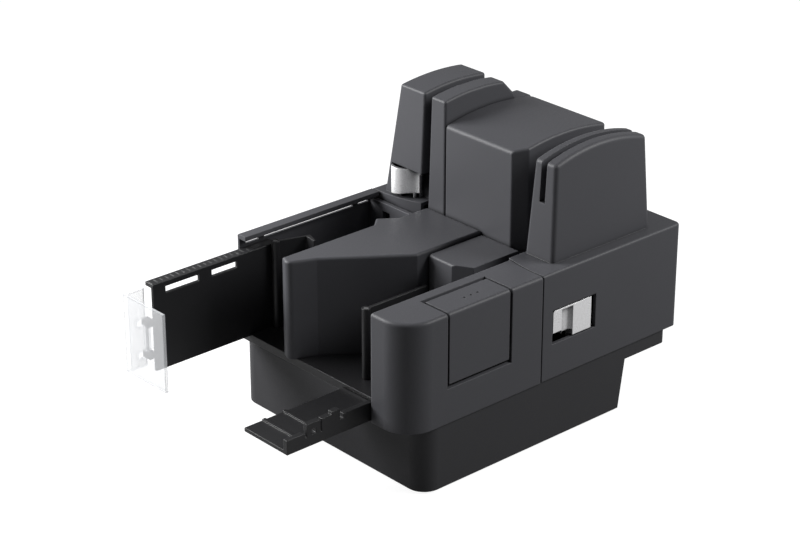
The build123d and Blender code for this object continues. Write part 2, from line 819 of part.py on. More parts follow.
with BuildPart() as shaft_bushes:
    for x, y in shaft_places:
        post(x, y, chassis_bottom, chassis_top, bush_radius)
        post(x, y, chassis_bottom, chassis_top, drive_shaft_radius + fit_gap, mode=Mode.SUBTRACT)
finish("shaft_bushes", shaft_bushes)

with BuildPart() as tray_floor:
    block(tray_left, floor_left, base_front, rough_back, seam_height, floor_top)
    post(-hinge_x, hinge_y, 0, deck_height, pocket_seam_radius, mode=Mode.SUBTRACT)
    block(floor_left, block_inner - touch_gap, base_front, floor_step_y, seam_height, floor_top)
    block(floor_left, floor_right, floor_step_y, floor_back, seam_height, floor_top)
    for x, y in drive_places + ((separation_x, feed_y),):
        post(x, y, seam_height, floor_top, drive_shaft_radius + touch_gap, mode=Mode.SUBTRACT)
    block(arm_left - touch_gap, arm_right + touch_gap, base_front, arm_channel_back,
          seam_height, seam_height + channel_height, mode=Mode.SUBTRACT)
    block(arm_right - rail_width - touch_gap, arm_right + touch_gap, base_front, rail_slot_back,
          seam_height, floor_top, mode=Mode.SUBTRACT)
    block(plate_inner - plate_thickness - touch_gap, plate_inner + touch_gap, base_front, groove_back,
          floor_top - groove_depth, floor_top, mode=Mode.SUBTRACT)
    for x, y in (pusher_pivot, pocket_flap_pivot):
        post(x, y, floor_top - pivot_depth, floor_top, pivot_radius, mode=Mode.SUBTRACT)
finish("tray_floor", tray_floor)

with BuildPart() as pivot_pins:
    post(*pusher_pivot, floor_top - pivot_depth, floor_top + pusher_height, pivot_radius)
    post(*pocket_flap_pivot, floor_top - pivot_depth, floor_top + pocket_flap_height, pivot_radius)
finish("pivot_pins", pivot_pins)

# ======== feed block on the right, with its flap ========
def block_outline(inset):
    """Plan of the feed block, its back end left long for the seam to cut."""
    return (
        (block_inner + inset, block_front + inset),
        (half_width - inset, block_front + inset),
        (half_width - inset, rough_back),
        (block_inner + inset, rough_back),
    )


with BuildPart() as block_core:
    with BuildSketch(Plane.XY.offset(block_floor)):
        Polygon(*block_outline(wall), align=None)
    extrude(amount=deck_height - wall - block_floor)
    fillet(block_core.edges().filter_by(Axis.Z).group_by(Axis.Y)[0].sort_by(Axis.X)[-1],
           nose_radius - wall)
    post(hinge_x, hinge_y, 0, deck_height, block_seam_radius + wall, mode=Mode.SUBTRACT)

with BuildPart() as front_block:
    with BuildSketch(Plane.XY.offset(seam_height)):
        Polygon(*block_outline(0), align=None)
    extrude(amount=deck_height - seam_height)
    fillet(front_block.edges().filter_by(Axis.Z).group_by(Axis.Y)[0].sort_by(Axis.X)[-1], nose_radius)
    fillet(front_block.edges().filter_by(Axis.Z).group_by(Axis.Y)[0].sort_by(Axis.X)[0], soft_edge)
    fillet(front_block.faces().sort_by(Axis.Z)[-1].edges(), soft_edge)
    post(hinge_x, hinge_y, 0, 2 * deck_height, block_seam_radius, mode=Mode.SUBTRACT)
    add(block_core.part, mode=Mode.SUBTRACT)
    block(flap_edge_x - flap_finger_gap, 2 * half_width, flap_front - flap_side_gap,
          flap_back + flap_side_gap, flap_axis_z, 2 * deck_height, mode=Mode.SUBTRACT)
    with Locations((half_width, flap_middle_y, flap_axis_z)):
        Cylinder(flap_scoop_radius, flap_length + 2 * flap_side_gap, rotation=(90, 0, 0),
                 mode=Mode.SUBTRACT)
    for y in (flap_front - flap_side_gap - flap_lug, flap_back + flap_side_gap):
        block(flap_axis_x - flap_lug, half_width - wall, y, y + flap_lug,
              flap_axis_z - flap_lug, flap_axis_z + flap_lug)
    with Locations((flap_axis_x, flap_middle_y, flap_axis_z)):
        Cylinder(flap_pin_radius, flap_pin_length, rotation=(90, 0, 0), mode=Mode.SUBTRACT)
    for y, radius in ((feed_y, feed_radius), (pickup_y, pickup_radius)):
        block(block_inner - cut_past, block_inner + wall + cut_past, y - radius - touch_gap,
              y + radius + touch_gap, feed_tyre_low - window_margin, feed_tyre_top + window_margin,
              mode=Mode.SUBTRACT)
    for x, y in ((feed_x, feed_y), (pickup_x, pickup_y)):
        post(x, y, seam_height, block_floor, feed_shaft_radius + touch_gap, mode=Mode.SUBTRACT)
    block(hook_x - touch_gap, hook_x + latch_hook_width + touch_gap, seam_front_y - 2 * wall,
          seam_front_y + wall, hook_low - touch_gap, hook_low + latch_hook_height + touch_gap,
          mode=Mode.SUBTRACT)
finish("front_block", front_block)

with BuildPart() as access_flap:
    block(half_width - wall, flap_face, flap_front, flap_back, flap_bottom, deck_height)
    block(flap_edge_x, flap_face, flap_front, flap_back, deck_height - wall, deck_height)
    fillet(access_flap.faces().sort_by(Axis.X)[-1].edges().filter_by(Axis.Y).sort_by(Axis.Z)[-1],
           soft_edge)
    with Locations((flap_axis_x, flap_middle_y, flap_axis_z)):
        Cylinder(flap_barrel_radius, flap_length, rotation=(90, 0, 0))
        Cylinder(flap_pin_radius + fit_gap, flap_length, rotation=(90, 0, 0), mode=Mode.SUBTRACT)
    for step in range(dot_count):
        post(half_width - dot_inset, dot_first_y + step * dot_pitch, deck_height - dot_depth, deck_height,
             dot_radius, mode=Mode.SUBTRACT)
finish("access_flap", access_flap)

with BuildPart() as flap_pin:
    with Locations((flap_axis_x, flap_middle_y, flap_axis_z)):
        Cylinder(flap_pin_radius, flap_pin_length, rotation=(90, 0, 0))
finish("flap_pin", flap_pin)


# ======== rollers, motors and belts ========
def upright_roller(x, y, bottom, top, shaft, tyre, levels, height, pulley=0):
    """Upright shaft with rubber tyres, and a belt pulley where it has one."""
    with BuildPart() as roller:
        post(x, y, bottom, top, shaft)
        for level in levels:
            post(x, y, level, level + height, tyre)
        if pulley:
            post(x, y, belt_low, belt_low + belt_width, pulley)
    return roller


for label, x, y, tyre, bottom, pulley in (
    ("feed_roller", feed_x, feed_y, feed_radius, motor_top - shaft_grip, feed_pulley_radius),
    ("pickup_roller", pickup_x, pickup_y, pickup_radius, belt_low, feed_pulley_radius),
    ("separation_roller", separation_x, feed_y, separation_radius, chassis_bottom, 0),
):
    finish(label, upright_roller(x, y, bottom, feed_bearing_top, feed_shaft_radius, tyre,
                                 (feed_tyre_low,), feed_tyre_width, pulley))

for number, (x, y) in enumerate(drive_places, start=1):
    bottom = motor_top - shaft_grip if number == 1 else belt_low
    finish(f"drive_roller_{number}",
           upright_roller(x, y, bottom, guide_top, drive_shaft_radius, drive_radius,
                          tyre_levels, tyre_width, drive_pulley_radius))

for number, (x, y) in enumerate(pinch_places, start=1):
    finish(f"pinch_roller_{number}",
           upright_roller(x, y, pinch_low, pinch_high, pinch_shaft_radius, pinch_radius,
                          tyre_levels, tyre_width))

with BuildPart() as feed_bearing_plate:
    block(block_inner + wall, feed_x + bearing_reach, pickup_y - bearing_reach, feed_y + bearing_reach,
          feed_bearing_low, feed_bearing_top)
    for x, y in ((feed_x, feed_y), (pickup_x, pickup_y)):
        post(x, y, feed_bearing_low, feed_bearing_top, feed_shaft_radius + fit_gap, mode=Mode.SUBTRACT)
finish("feed_bearing_plate", feed_bearing_plate)

with BuildPart() as feed_belt:
    with BuildSketch(Plane.XY.offset(belt_low)):
        middle = ((feed_x + pickup_x) / 2, (feed_y + pickup_y) / 2)
        reach = feed_pulley_radius + touch_gap
        SlotCenterPoint(middle, (feed_x, feed_y), 2 * (reach + belt_thickness))
        SlotCenterPoint(middle, (feed_x, feed_y), 2 * reach, mode=Mode.SUBTRACT)
    extrude(amount=belt_width)
finish("feed_belt", feed_belt)

with BuildPart() as transport_belt:
    with BuildSketch(Plane.XY.offset(belt_low)):
        Polygon(*drive_places, align=None)
        offset(amount=drive_pulley_radius + touch_gap + belt_thickness, kind=Kind.ARC)
        offset(amount=-belt_thickness, kind=Kind.ARC, mode=Mode.SUBTRACT)
    extrude(amount=belt_width)
finish("transport_belt", transport_belt)

for label, (x, y), radius in (("feed_motor", (feed_x, feed_y), feed_motor_radius),
                              ("transport_motor", drive_places[0], transport_motor_radius)):
    with BuildPart() as motor:
        post(x, y, floor_level, motor_top, radius)
        post(x, y, motor_top - shaft_grip - touch_gap, motor_top, drive_shaft_radius + fit_gap,
             mode=Mode.SUBTRACT)
    finish(label, motor)

# ======== document path: inner guide and bearing plate ========
with BuildSketch() as guide_ring:
    Polygon((left_inner, box_front), (right_inner, box_front), (right_inner, rear_inner),
            (left_inner, rear_inner), align=None)
    fillet(guide_ring.vertices().group_by(Axis.Y)[-1], lane_bend - lane_gap / 2)

with BuildPart() as inner_guide:
    with BuildSketch(Plane.XY.offset(floor_top)):
        add(guide_ring.sketch)
        offset(amount=-panel_wall, kind=Kind.INTERSECTION, mode=Mode.SUBTRACT)
    extrude(amount=guide_height)
    for x, y in drive_places:
        for level in tyre_levels:
            block(x - drive_radius - cut_past, x + drive_radius + cut_past, y - drive_radius,
                  y + drive_radius, level - window_margin, level + tyre_width + window_margin,
                  mode=Mode.SUBTRACT)
    block(right_inner - 2 * panel_wall, right_inner + cut_past, sensor_y - sensor_length / 2,
          sensor_y + sensor_length / 2, floor_top, sensor_top, mode=Mode.SUBTRACT)
    block(left_inner - cut_past, left_inner + 2 * panel_wall, head_y - head_size / 2,
          head_y + head_size / 2, floor_top, floor_top + head_height, mode=Mode.SUBTRACT)
finish("inner_guide", inner_guide)

with BuildPart() as bearing_plate:
    with BuildSketch(Plane.XY.offset(bearing_plate_low)):
        add(guide_ring.sketch)
        offset(amount=-panel_wall, kind=Kind.INTERSECTION)
        with Locations(*drive_places):
            Circle(drive_shaft_radius + fit_gap, mode=Mode.SUBTRACT)
    extrude(amount=bearing_plate_thickness)
finish("bearing_plate", bearing_plate)

# ======== fixed covers over the document path ========
with BuildPart() as separation_cover:
    with BuildSketch(Plane.XY.offset(floor_top)):
        Polygon(*separation_plan, align=None)
    extrude(amount=separation_top - floor_top)
    fillet(separation_cover.faces().sort_by(Axis.Z)[-1].edges().filter_by(Axis.X), cover_edge)
    with BuildSketch(Plane.XY.offset(floor_top)):
        Polygon(*separation_plan, align=None)
        offset(amount=-panel_wall, kind=Kind.INTERSECTION)
    extrude(amount=separation_top - panel_wall - floor_top, mode=Mode.SUBTRACT)
    block(separation_left + panel_wall, right_inner + cut_past,
          entry_roller_y - drive_radius - window_margin, box_front, floor_top,
          tyre_high + tyre_width + window_margin, mode=Mode.SUBTRACT)
    post(separation_x, feed_y, feed_tyre_low - window_margin, feed_tyre_top + window_margin,
         separation_radius + window_margin, mode=Mode.SUBTRACT)
finish("separation_cover", separation_cover)

with BuildPart() as divider_housing:
    with BuildSketch(Plane.XY.offset(floor_top)):
        Polygon(*divider_plan, align=None)
    extrude(amount=deck_height - floor_top)
    fillet(divider_housing.edges().filter_by(Axis.Z).group_by(Axis.Y)[0], divider_nose)
    fillet(divider_housing.faces().sort_by(Axis.Z)[-1].edges(), cover_edge)
    with BuildSketch(Plane.XY.offset(floor_top)):
        Polygon(*divider_plan, align=None)
        offset(amount=-panel_wall, kind=Kind.INTERSECTION)
    extrude(amount=deck_height - panel_wall - floor_top, mode=Mode.SUBTRACT)
finish("divider_housing", divider_housing)


def side_view(arch, rest):
    """Slab across the whole scanner: an arched top, closed by straight lines."""
    with BuildPart() as slab:
        with BuildSketch(Plane.YZ.offset(-body_width)):
            with BuildLine():
                ThreePointArc(*arch)
                Polyline(arch[-1], *rest, arch[0])
            make_face()
        extrude(amount=2 * body_width)
    return slab


def tower(ends, arch, rest, edge):
    """Tapered tower: an end view (across, up) cut to an arched side view (back, up)."""
    sides = side_view(arch, rest)
    with BuildPart() as solid:
        with BuildSketch(Plane.XZ.offset(-housing_back)):
            Polygon(*ends, align=None)
        extrude(amount=2 * housing_back)
        add(sides.part, mode=Mode.INTERSECT)
        fillet(solid.edges() - solid.faces().sort_by(Axis.Z)[0].edges(), edge)
    return solid


box_sides = side_view(box_arch, ((box_back, guide_top), (box_front, guide_top)))

with BuildPart() as centre_cover:
    with BuildSketch(Plane.XY.offset(guide_top)):
        Polygon((box_left, box_front), (box_right - box_chamfer_x, box_front),
                (box_right, box_front + box_chamfer_y), (box_right, box_back), (box_left, box_back),
                align=None)
    extrude(amount=deck_height)
    add(box_sides.part, mode=Mode.INTERSECT)
    fillet(centre_cover.edges().filter_by(Axis.Z).group_by(Axis.Y)[-1], box_back_radius)
    fillet(centre_cover.faces().sort_by(Axis.Y)[0].edges().sort_by(Axis.Z)[-1], box_brow_radius)
    brow_edges = centre_cover.edges().filter_by(Axis.X).filter_by_position(
        Axis.Y, box_front, box_front + 2 * box_brow_radius)
    fillet(centre_cover.edges() - centre_cover.faces().sort_by(Axis.Z)[0].edges()
           - centre_cover.faces().sort_by(Axis.X)[0].edges().filter_by(Axis.Z) - brow_edges, cover_edge)
    block(box_left + panel_wall, box_right - box_chamfer_x - panel_wall, box_front + panel_wall,
          box_back - box_back_radius, guide_top, box_hollow_top, mode=Mode.SUBTRACT)
finish("centre_cover", centre_cover)

rib_body = tower(
    ((left_inner, guide_top), (rib_left, deck_height + rib_crown_rise),
     (box_left, deck_height + rib_crown_rise), (box_left, guide_top)),
    rib_arch, rib_rear, cover_edge)

with BuildPart() as rib_cover:
    add(rib_body.part)
    block(rib_left + panel_wall, box_left - panel_wall, box_front + panel_wall,
          rib_top_back - panel_wall, guide_top, rib_foot_top - panel_wall, mode=Mode.SUBTRACT)
finish("rib_cover", rib_cover)

with BuildPart() as rear_housing:
    block(left_outer - rear_side, right_outer + rear_side, rear_split, housing_back,
          seam_height, rear_top)
    fillet(rear_housing.faces().sort_by(Axis.Z)[-1].edges(), cover_edge)
    with BuildSketch(Plane.XY.offset(seam_height)):
        with BuildSketch(mode=Mode.PRIVATE) as lane_outline:
            Polygon((left_outer, 0), (right_outer, 0), (right_outer, rear_outer),
                    (left_outer, rear_outer), align=None)
            fillet(lane_outline.vertices().group_by(Axis.Y)[-1], lane_bend + lane_gap / 2)
        add(lane_outline.sketch)
    extrude(amount=2 * deck_height, mode=Mode.SUBTRACT)
    block(left_outer - rear_side, right_outer + rear_side, rear_split, rear_outer, seam_height,
          floor_top, mode=Mode.SUBTRACT)
    block(left_outer, right_outer, rear_outer + panel_wall, back_wall, seam_height,
          rear_top - wall, mode=Mode.SUBTRACT)
    x, y = pinch_places[2]
    block(x - pinch_lug_half, x + pinch_lug_half, rear_outer, back_wall, floor_top,
          pinch_low + pinch_grip)
    block(x - pinch_lug_half, x + pinch_lug_half, rear_outer, back_wall, pinch_high - pinch_grip,
          pinch_high + panel_wall)
    block(x - pinch_radius - cut_past, x + pinch_radius + cut_past, rear_outer - cut_past, y,
          pinch_low + pinch_grip, pinch_high - pinch_grip, mode=Mode.SUBTRACT)
    post(x, y, pinch_low, pinch_high, pinch_shaft_radius + fit_gap, mode=Mode.SUBTRACT)
finish("rear_housing", rear_housing)

with BuildPart() as hinge_brackets:
    for side in (-1, 1):
        block(side * hinge_x - bracket_half, side * hinge_x + bracket_half, hinge_y - bracket_length,
              hinge_y, seam_height, seam_height + bracket_thickness)
        post(side * hinge_x, hinge_y, seam_height, seam_height + bracket_thickness, bracket_half)
        post(side * hinge_x, hinge_y, seam_height, hinge_pin_top, hinge_pin_radius)
finish("hinge_brackets", hinge_brackets)


# ======== the two hinged side covers ========
def guide_plate(x_low, x_high, lug_end, places, y_low, y_high):
    """Flat guide plate on a cover, with lugs above and below each pinch roller."""
    with BuildPart() as plate:
        block(x_low, x_high, y_low, y_high, floor_top + touch_gap, guide_top)
        for x, y in places:
            block(x_low, x_high, y - pinch_lug_half, y + pinch_lug_half, floor_top + touch_gap, roof,
                  mode=Mode.SUBTRACT)
            for z_low, z_high in ((floor_top + touch_gap, pinch_low + pinch_grip),
                                  (pinch_high - pinch_grip, roof)):
                block(min(x_low, lug_end), max(x_high, lug_end), y - pinch_lug_half,
                      y + pinch_lug_half, z_low, z_high)
            post(x, y, pinch_low, pinch_high, pinch_shaft_radius + fit_gap, mode=Mode.SUBTRACT)
    return plate


with BuildPart() as right_core:
    with BuildSketch(Plane.XY.offset(cover_bottom)):
        Polygon((right_outer, 0), (side_wall, 0), (side_wall, back_wall),
                (right_cover_inner + split_step + wall, back_wall),
                (right_cover_inner + split_step + wall, rear_split), (right_outer, rear_split),
                align=None)
        with Locations((hinge_x, hinge_y)):
            Circle(right_seam_reach - wall, mode=Mode.INTERSECT)
    extrude(amount=roof - cover_bottom)

right_tower = tower(
    ((tower_r_inner, roof), (tower_r_inner + tower_r_inner_lean, tower_r_crown),
     (tower_r_inner + tower_r_inner_lean + tower_r_top_width, tower_r_crown),
     (tower_r_inner + tower_r_foot_width, roof)),
    tower_r_arch, ((tower_r_back, roof), (tower_r_front, roof)), tower_edge)

with BuildPart() as right_cover:
    with BuildSketch(Plane.XY.offset(cover_bottom)):
        Polygon((right_cover_inner, 0), (half_width, 0), (half_width, housing_back),
                (right_cover_inner + split_step, housing_back),
                (right_cover_inner + split_step, rear_split + split_step / 2),
                (right_cover_inner, rear_split - split_step / 2), align=None)
        with Locations((hinge_x, hinge_y)):
            Circle(right_seam_reach, mode=Mode.INTERSECT)
    extrude(amount=deck_height - cover_bottom)
    fillet(right_cover.edges().filter_by(Axis.Z).group_by(Axis.Y)[-1].sort_by(Axis.X)[-1], cover_corner)
    outer_top = right_cover.faces().sort_by(Axis.Z)[-1].edges()
    fillet(outer_top.filter_by(Axis.Y).sort_by(Axis.X)[-1], cover_edge)
    add(right_tower.part)
    add(right_core.part, mode=Mode.SUBTRACT)
    block(tower_r_inner + tower_core_margin, tower_r_inner + tower_core_margin + tower_core_width,
          tower_r_front + tower_core_margin, tower_r_back - tower_core_margin, cover_bottom,
          card_slot_solid, mode=Mode.SUBTRACT)
    block(card_slot_x, card_slot_x + card_slot_width, 0, housing_back, card_slot_floor,
          2 * deck_height, mode=Mode.SUBTRACT)
    block(card_slot_x - reader_depth, card_slot_x, reader_front, reader_front + reader_length,
          reader_low, reader_low + reader_height, mode=Mode.SUBTRACT)
    for level in lug_levels:
        block(hinge_x - lug_inner, side_wall, hinge_y - lug_front, back_wall, level, level + lug_height)
        post(hinge_x, hinge_y, level, level + lug_height, hinge_pin_radius + fit_gap,
             mode=Mode.SUBTRACT)
    block(side_wall - cut_past, half_width, latch_front - latch_window_gap,
          latch_back + latch_travel + latch_window_gap, latch_low - latch_window_gap,
          latch_top + latch_window_gap, mode=Mode.SUBTRACT)
    block(hook_x - touch_gap, hook_x + latch_hook_width + touch_gap, 0, latch_front,
          hook_low - touch_gap, hook_low + latch_hook_height + touch_gap, mode=Mode.SUBTRACT)
finish("right_cover", right_cover)

with BuildPart() as right_guide_plate:
    add(guide_plate(right_outer, right_outer + panel_wall, right_outer + guide_lug_reach,
                    pinch_places[:2], right_guide_front, rear_split - split_step).part)
    block(right_outer, right_outer + panel_wall, sensor_y - sensor_length / 2,
          sensor_y + sensor_length / 2, floor_top, sensor_top, mode=Mode.SUBTRACT)
finish("right_guide_plate", right_guide_plate)

with BuildPart() as left_core:
    with BuildSketch(Plane.XY.offset(cover_bottom)):
        Polygon((left_outer, 0), (-side_wall, 0), (-side_wall, back_wall),
                (left_cover_inner - split_step - wall, back_wall),
                (left_cover_inner - split_step - wall, rear_split), (left_outer, rear_split),
                align=None)
        with Locations((-hinge_x, hinge_y)):
            Circle(left_seam_reach - wall, mode=Mode.INTERSECT)
    extrude(amount=roof - cover_bottom)

left_tower = tower(
    ((left_outer, roof), (tower_l_inner, tower_l_crown), (tower_l_outer, tower_l_crown),
     (tower_l_inner - tower_l_foot_width, roof)),
    tower_l_arch, ((tower_l_back + tower_l_lean, roof), (tower_l_front, roof)), cover_edge)

# what is taken off below the tower, so that it swings over the fixed parts
with BuildPart() as left_trim:
    block(-body_width, body_width, 0, rough_back + wall, cover_bottom, deck_height + overhang_gap)
    post(-hinge_x, hinge_y, 0, 2 * deck_height, left_seam_reach, mode=Mode.SUBTRACT)
    block(left_cover_inner, 0, 0, housing_back, cover_bottom, deck_height + overhang_gap)

with BuildPart() as left_cover:
    with BuildSketch(Plane.XY.offset(cover_bottom)):
        Polygon((left_cover_inner, 0), (-half_width, 0), (-half_width, housing_back),
                (left_cover_inner - split_step, housing_back),
                (left_cover_inner - split_step, rear_split + split_step / 2),
                (left_cover_inner, rear_split - split_step / 2), align=None)
        with Locations((-hinge_x, hinge_y)):
            Circle(left_seam_reach, mode=Mode.INTERSECT)
    extrude(amount=deck_height - cover_bottom)
    fillet(left_cover.edges().filter_by(Axis.Z).group_by(Axis.Y)[-1].sort_by(Axis.X)[0], cover_corner)
    outer_top = left_cover.faces().sort_by(Axis.Z)[-1].edges()
    fillet(outer_top.filter_by(Axis.Y).sort_by(Axis.X)[0], cover_edge)
    add(left_tower.part)
    add(left_core.part, mode=Mode.SUBTRACT)
    add(left_trim.part, mode=Mode.SUBTRACT)
    block(tower_l_outer, tower_l_inner - tower_core_margin, lever_recess_back + wall,
          tower_l_back - tower_core_margin, cover_bottom,
          deck_height + tower_l_front_rise - tower_core_margin, mode=Mode.SUBTRACT)
    block(lever_outer - lever_side_gap, tower_l_inner + cut_past, 0, lever_recess_back,
          deck_height, lever_top + lever_gap, mode=Mode.SUBTRACT)
    block(hook_arm_left - hook_arm_slack, hook_arm_right + touch_gap, hook_arm_front - touch_gap,
          lever_recess_back, cover_bottom, deck_height, mode=Mode.SUBTRACT)
    post(*lever_pivot, roof, lever_top + lever_gap + wall, lever_pin_radius, mode=Mode.SUBTRACT)
    for level in lug_levels:
        block(-side_wall, lug_inner - hinge_x, hinge_y - lug_front, back_wall, level,
              level + lug_height)
        post(-hinge_x, hinge_y, level, level + lug_height, hinge_pin_radius + fit_gap,
             mode=Mode.SUBTRACT)
    block(hook_arm_left - hook_arm_slack, hook_arm_left + hook_tip_width + touch_gap, 0,
          hook_arm_front, hook_arm_low - touch_gap, hook_arm_low + hook_tip_height + touch_gap,
          mode=Mode.SUBTRACT)
    block(-side_wall, cartridge_right, cartridge_front, cartridge_back, cartridge_low - panel_wall,
          cartridge_low)
finish("left_cover", left_cover)

with BuildPart() as left_guide_plate:
    add(guide_plate(left_outer - panel_wall, left_outer, left_outer - guide_lug_reach,
                    pinch_places[3:], left_guide_front, rear_split - split_step).part)
    block(left_outer - panel_wall, left_outer, nozzle_y - nozzle_size / 2, nozzle_y + nozzle_size / 2,
          nozzle_z, nozzle_z + nozzle_size, mode=Mode.SUBTRACT)
finish("left_guide_plate", left_guide_plate)

with BuildPart() as ink_cartridge:
    block(cartridge_right - cartridge_width, cartridge_right, cartridge_front, cartridge_back,
          cartridge_low, cartridge_low + cartridge_height)
    block(cartridge_right, left_outer - panel_wall - touch_gap, nozzle_y - nozzle_size,
          nozzle_y + nozzle_size, nozzle_z - nozzle_size, nozzle_z + 2 * nozzle_size)
finish("ink_cartridge", ink_cartridge)

# ======== latches ========
with BuildPart() as right_latch:
    block(half_width - latch_depth, latch_face, latch_front, latch_back, latch_low, latch_top)
    fillet(right_latch.faces().sort_by(Axis.Y)[0].edges().filter_by(Axis.X).sort_by(Axis.Z)[-1],
           latch_corner)
    post(latch_face + latch_grip_radius - latch_grip_depth, latch_grip_front + latch_grip_length / 2,
         latch_low, latch_top - latch_rim, latch_grip_radius, mode=Mode.SUBTRACT)
    block(half_width - latch_depth, side_wall - touch_gap, latch_front, latch_back,
          latch_low - latch_flange, latch_top + latch_flange)
    block(half_width - latch_depth, half_width, latch_front, latch_grip_front,
          latch_low - latch_flange, latch_low + latch_lip_lift, mode=Mode.SUBTRACT)
    block(half_width - latch_depth, half_width, latch_grip_front, latch_grip_front + latch_grip_length,
          latch_low - latch_flange, latch_low + latch_grip_lift, mode=Mode.SUBTRACT)
    block(hook_x, hook_x + latch_hook_width, 0, latch_grip_front, hook_low, hook_low + latch_hook_height)
    with BuildSketch():
        with Locations((hinge_x, hinge_y)):
            Circle(right_seam_reach)
    extrude(amount=2 * deck_height, mode=Mode.INTERSECT)
finish("right_latch", right_latch)

# hook arm behind the thumb lever, its front end flush with the cover's seam
with BuildPart() as hook_arm:
    block(hook_arm_left, hook_arm_right, hook_arm_front, hook_arm_back, hook_arm_low, hook_arm_top)
    block(hook_arm_left, hook_arm_left + hook_tip_width, 0, hook_arm_front, hook_arm_low,
          hook_arm_low + hook_tip_height)
    with BuildSketch():
        with Locations((-hinge_x, hinge_y)):
            Circle(left_seam_reach)
    extrude(amount=2 * deck_height, mode=Mode.INTERSECT)

# everything behind the lever's thickness, apart from the web that carries the hook arm
with BuildPart() as lever_back:
    with BuildSketch(Plane.XY.offset(deck_height)):
        with BuildLine():
            Spline(*lever_rear_wave)
            Polyline(lever_rear_wave[-1], (lever_inner, lever_recess_back),
                     (lever_outer, lever_recess_back), lever_rear_wave[0])
        make_face()
    extrude(amount=lever_rise)
    block(hook_arm_left, hook_arm_right, 0, hook_arm_back, deck_height, hook_arm_top, mode=Mode.SUBTRACT)

with BuildPart() as left_latch:
    with BuildSketch(Plane.XY.offset(deck_height)):
        with BuildLine():
            Spline(*lever_wave)
            Polyline(lever_wave[-1], (lever_inner, lever_recess_back),
                     (lever_outer, lever_recess_back), lever_wave[0])
        make_face()
    extrude(amount=lever_rise)
    add(lever_back.part, mode=Mode.SUBTRACT)
    post(*lever_pivot, deck_height, lever_top, lever_boss_radius)
    with BuildSketch(Plane.XZ.offset(-lever_recess_back)):
        Polygon((lever_outer, 0), (lever_inner, 0), (lever_inner, deck_height + lever_inner_lift),
                (lever_outer, lever_low), align=None)
    extrude(amount=2 * lever_recess_back, mode=Mode.SUBTRACT)
    post(*lever_pivot, deck_height, lever_top, lever_pin_radius + fit_gap, mode=Mode.SUBTRACT)
    add(hook_arm.part)
finish("left_latch", left_latch)

with BuildPart() as left_latch_pin:
    post(*lever_pivot, roof, lever_top + lever_gap + wall, lever_pin_radius)
finish("left_latch_pin", left_latch_pin)

# ======== eject pocket on the left and the sliding pieces of the trays ========
with BuildPart() as pocket_wall:
    block(-half_width, skin_inner, base_front, rough_back, seam_height, deck_height)
    block(-half_width, rim_width - half_width, base_front, rough_back,
          deck_height - rim_thickness, deck_height)
    fillet(pocket_wall.faces().sort_by(Axis.Z)[-1].edges().filter_by(Axis.Y).sort_by(Axis.X)[0],
           rim_edge)
    for y_low, y_high in pocket_slits:
        block(-half_width, skin_inner, y_low, y_high, slit_top - slit_height, slit_top,
              mode=Mode.SUBTRACT)
    block(skin_inner, pocket_back_right, pocket_back_front, pocket_back_y, floor_top, pocket_back_top)
    block(hook_arm_left - hook_arm_slack, hook_arm_left + hook_tip_width + touch_gap, 0, pocket_back_y,
          hook_arm_low - touch_gap, hook_arm_low + hook_tip_height + touch_gap, mode=Mode.SUBTRACT)
    post(-hinge_x, hinge_y, 0, 2 * deck_height, pocket_seam_radius, mode=Mode.SUBTRACT)
finish("pocket_wall", pocket_wall)

with BuildPart() as eject_extension:
    block(plate_inner - plate_thickness, plate_inner, plate_front, plate_back,
          floor_top - groove_depth + touch_gap, plate_top)
    block(plate_inner - plate_flange_width, plate_inner, plate_front, plate_back,
          plate_top - plate_flange_thickness, plate_top)
    for y_low, y_high in plate_slits:
        block(plate_inner - plate_thickness, plate_inner, y_low, y_high,
              plate_slit_top - plate_slit_height, plate_slit_top, mode=Mode.SUBTRACT)
    for z in stopper_lug_levels:
        block(stopper_x - stopper_barrel_radius, plate_inner, stopper_y - stopper_barrel_radius,
              plate_front, z, z + stopper_lug)
        post(stopper_x, stopper_y, z, z + stopper_lug, stopper_pin_radius, mode=Mode.SUBTRACT)
finish("eject_extension", eject_extension)

with BuildPart() as stopper_pin:
    post(stopper_x, stopper_y, stopper_lug_levels[0], stopper_lug_levels[1] + stopper_lug,
         stopper_pin_radius)
finish("stopper_pin", stopper_pin)

with BuildPart() as end_stopper:
    block(stopper_x - clear_thickness, stopper_x, stopper_y - stopper_reach, stopper_y,
          stopper_bottom, stopper_top)
    block(stopper_x - clear_thickness, stopper_x + stopper_width, stopper_y - stopper_reach,
          stopper_y - stopper_reach + clear_thickness, stopper_bottom, stopper_top)
    for z in stopper_lug_levels:
        block(stopper_x - clear_thickness, stopper_x, stopper_y - stopper_notch, stopper_y,
              z - touch_gap, z + stopper_lug + touch_gap, mode=Mode.SUBTRACT)
    post(stopper_x, stopper_y, stopper_lug_levels[0] + stopper_lug + touch_gap,
         stopper_lug_levels[1] - touch_gap, stopper_barrel_radius)
    post(stopper_x, stopper_y, stopper_bottom, stopper_top, stopper_pin_radius + fit_gap,
         mode=Mode.SUBTRACT)
finish("end_stopper", end_stopper)

with BuildPart() as feed_extension:
    block(arm_left, arm_right, arm_front, arm_back, arm_low, arm_low + arm_thickness)
    for y in arm_steps:
        block(arm_left, arm_right, y, y + arm_thickness, arm_low,
              arm_low + arm_thickness + arm_step_height)
    with BuildSketch(Plane.YZ.offset(arm_right - rail_width)):
        Polygon(*rail_profile, align=None)
    extrude(amount=rail_width)
    for y in rail_grooves:
        block(arm_right - rail_width, arm_right, y, y + rail_groove,
              arm_low + arm_thickness + rail_groove_lift, deck_height, mode=Mode.SUBTRACT)
    block(arm_right - rail_width, arm_right, rail_window_front, rail_window_front + rail_window_length,
          arm_low + rail_window_lift, arm_low + rail_window_lift + rail_window_height,
          mode=Mode.SUBTRACT)
finish("feed_extension", feed_extension)

